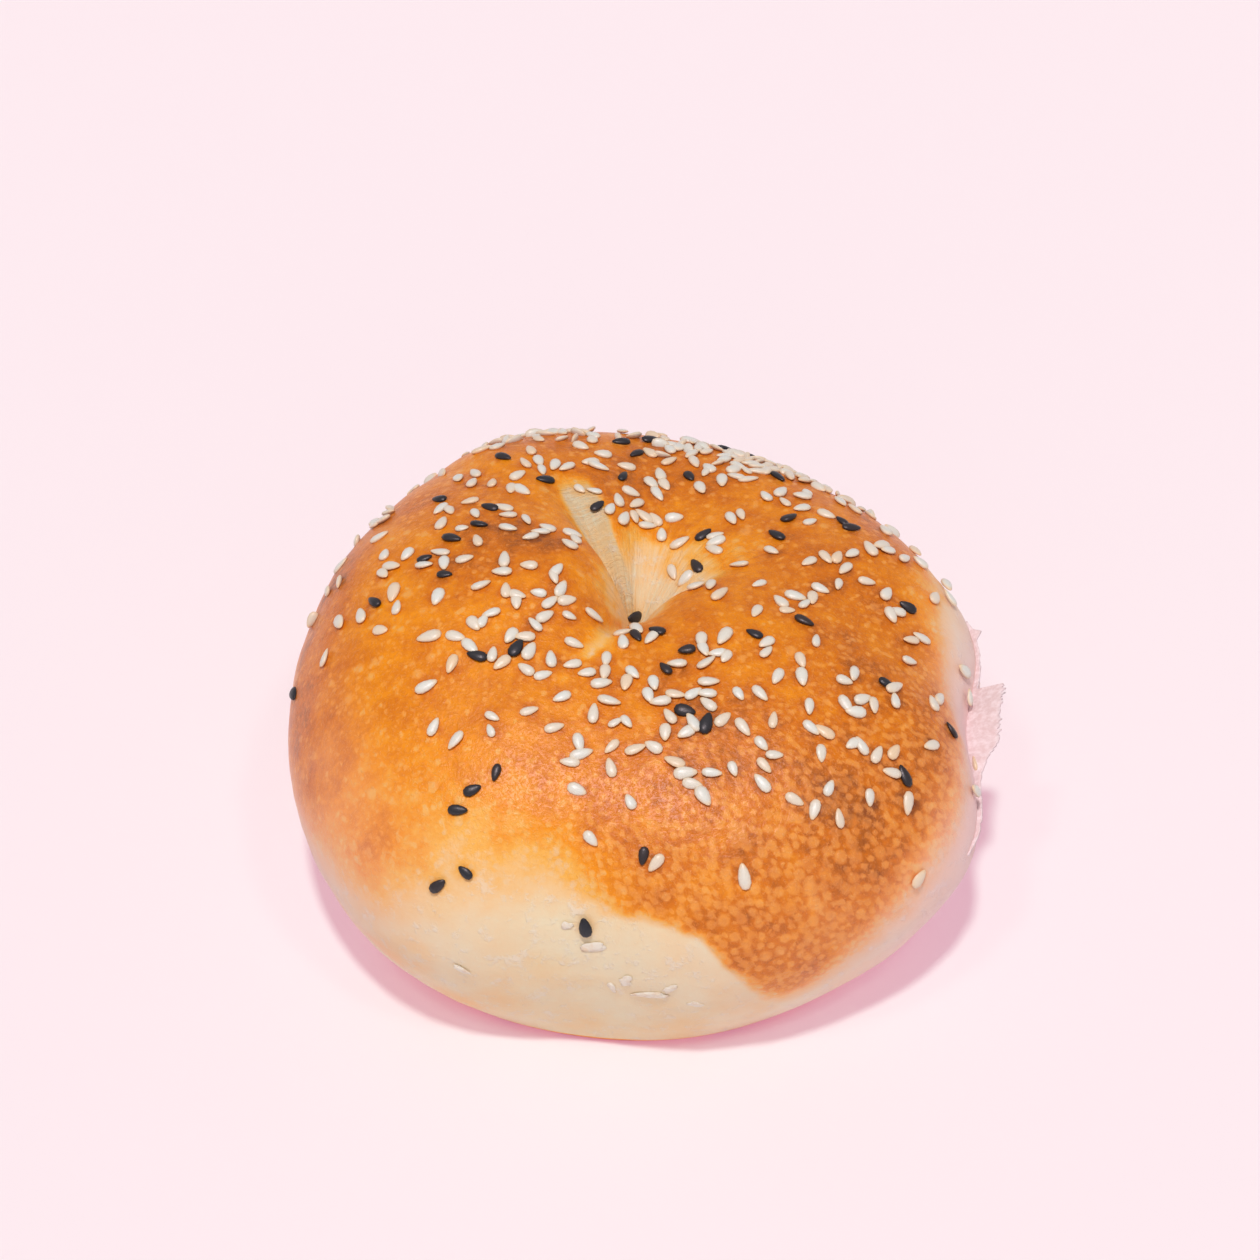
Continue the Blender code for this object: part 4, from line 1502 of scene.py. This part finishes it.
@dataclass
class Studio:
    """A plain pale floor, soft light and the camera."""

    distance: float = 620.0 * MM
    elevation: float = 46.0
    picture_width: float = 202.6 * MM
    sensor: float = 36.0
    look_at_rise: float = 16.5 * MM
    look_at_right: float = -0.6 * MM
    middle_height: float = 25.0 * MM
    floor_size: float = 6.0
    floor_colour: Colour = (0.52, 0.70, 0.64)
    floor_glow: Colour = (0.45, 0.135, 0.235)
    world_colour: Colour = (1.0, 0.90, 0.94)
    world_strength: float = 0.38
    lamps: tuple[Lamp, ...] = (
        Lamp("key", 260.0, 77.0, 1.66, 5.0, gleams=False),
        Lamp("left side", 215.0, 66.0, 0.21, 6.0, gleams=False),
        Lamp("right side", 320.0, 66.0, 0.21, 6.0, gleams=False),
        Lamp("low fill", 270.0, 12.0, 0.42, 60.0, gleams=False),
        Lamp("highlight", 252.0, 79.0, 2.30, 17.0, colour=(1.0, 0.84, 0.88), lights=False),
    )

    def build(self, ring: Ring) -> None:
        """Put the floor, the light and the camera round the ring."""
        self.floor()
        for lamp in self.lamps:
            self.hang(lamp)
        self.camera(Vector((*ring.centre, self.middle_height)))
        world = bpy.data.worlds.new("studio")
        world.use_nodes = True
        background = world.node_tree.nodes["Background"]
        background.inputs["Color"].default_value = (*self.world_colour, 1.0)
        background.inputs["Strength"].default_value = self.world_strength
        bpy.context.scene.world = world
        bpy.context.scene.view_settings.view_transform = "Standard"

    def floor(self) -> None:
        """Lay the floor."""
        deselect_all()
        bpy.ops.mesh.primitive_plane_add(size=self.floor_size, location=(0.0, 0.0, 0.0))
        floor = bpy.context.active_object
        floor.name = "floor"
        desk = Desk("pale floor")
        desk.set(Base_Color=self.floor_colour, Roughness=1.0, Specular_IOR_Level=0.0)
        desk.set(Emission_Color=self.floor_glow, Emission_Strength=1.0)
        floor.data.materials.append(desk.material)

    def hang(self, lamp: Lamp) -> None:
        """Hang one lamp."""
        data = bpy.data.lights.new(lamp.name, "SUN")
        data.energy = lamp.strength
        data.angle = math.radians(lamp.angle)
        data.color = lamp.colour
        piece = bpy.data.objects.new(lamp.name, data)
        piece.visible_diffuse = lamp.lights
        piece.visible_glossy = lamp.gleams
        towards = self.towards(lamp.azimuth, lamp.elevation)
        piece.matrix_world = towards.to_track_quat("Z", "Y").to_matrix().to_4x4()
        bpy.context.scene.collection.objects.link(piece)

    def towards(self, azimuth: float, elevation: float) -> Vector:
        """Return the direction of an azimuth and an elevation in degrees."""
        turn, rise = math.radians(azimuth), math.radians(elevation)
        return Vector((math.cos(rise) * math.cos(turn), math.cos(rise) * math.sin(turn), math.sin(rise)))

    def camera(self, middle: Vector) -> None:
        """Set the camera where the photograph was taken from."""
        data = bpy.data.cameras.new("camera")
        data.sensor_width = self.sensor
        data.lens = self.sensor * self.distance / self.picture_width
        camera = bpy.data.objects.new("camera", data)
        back = self.towards(270.0, self.elevation)
        up = Vector((0.0, back.z, -back.y))
        target = middle + up * self.look_at_rise + Vector((1.0, 0.0, 0.0)) * self.look_at_right
        eye = middle + back * self.distance
        turned = (eye - target).to_track_quat("Z", "Y").to_matrix().to_4x4()
        camera.matrix_world = Matrix.Translation(eye) @ turned
        bpy.context.scene.collection.objects.link(camera)
        bpy.context.scene.camera = camera


def settle(piece: bpy.types.Object) -> None:
    """Let a piece ride on the bagel's body and stand for its solid."""
    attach(piece, BODY)
    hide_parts(NODE)
    LOG.info("%s: %d faces", piece.name, len(piece.data.polygons))


def main() -> None:
    """Build the bagel's looks round its solid."""
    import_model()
    ring = Ring()
    places = seed_places(ring)
    settle(Dough(ring, places).build())
    settle(Seeds(SeedKind.WHITE, WHITE_SEED).build(places))
    settle(Seeds(SeedKind.BLACK, BLACK_SEED).build(places))
    settle(TornSkin(ring).build())
    settle(LooseDough(ring).build())
    Studio().build(ring)
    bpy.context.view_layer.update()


if __name__ == "__main__":
    main()
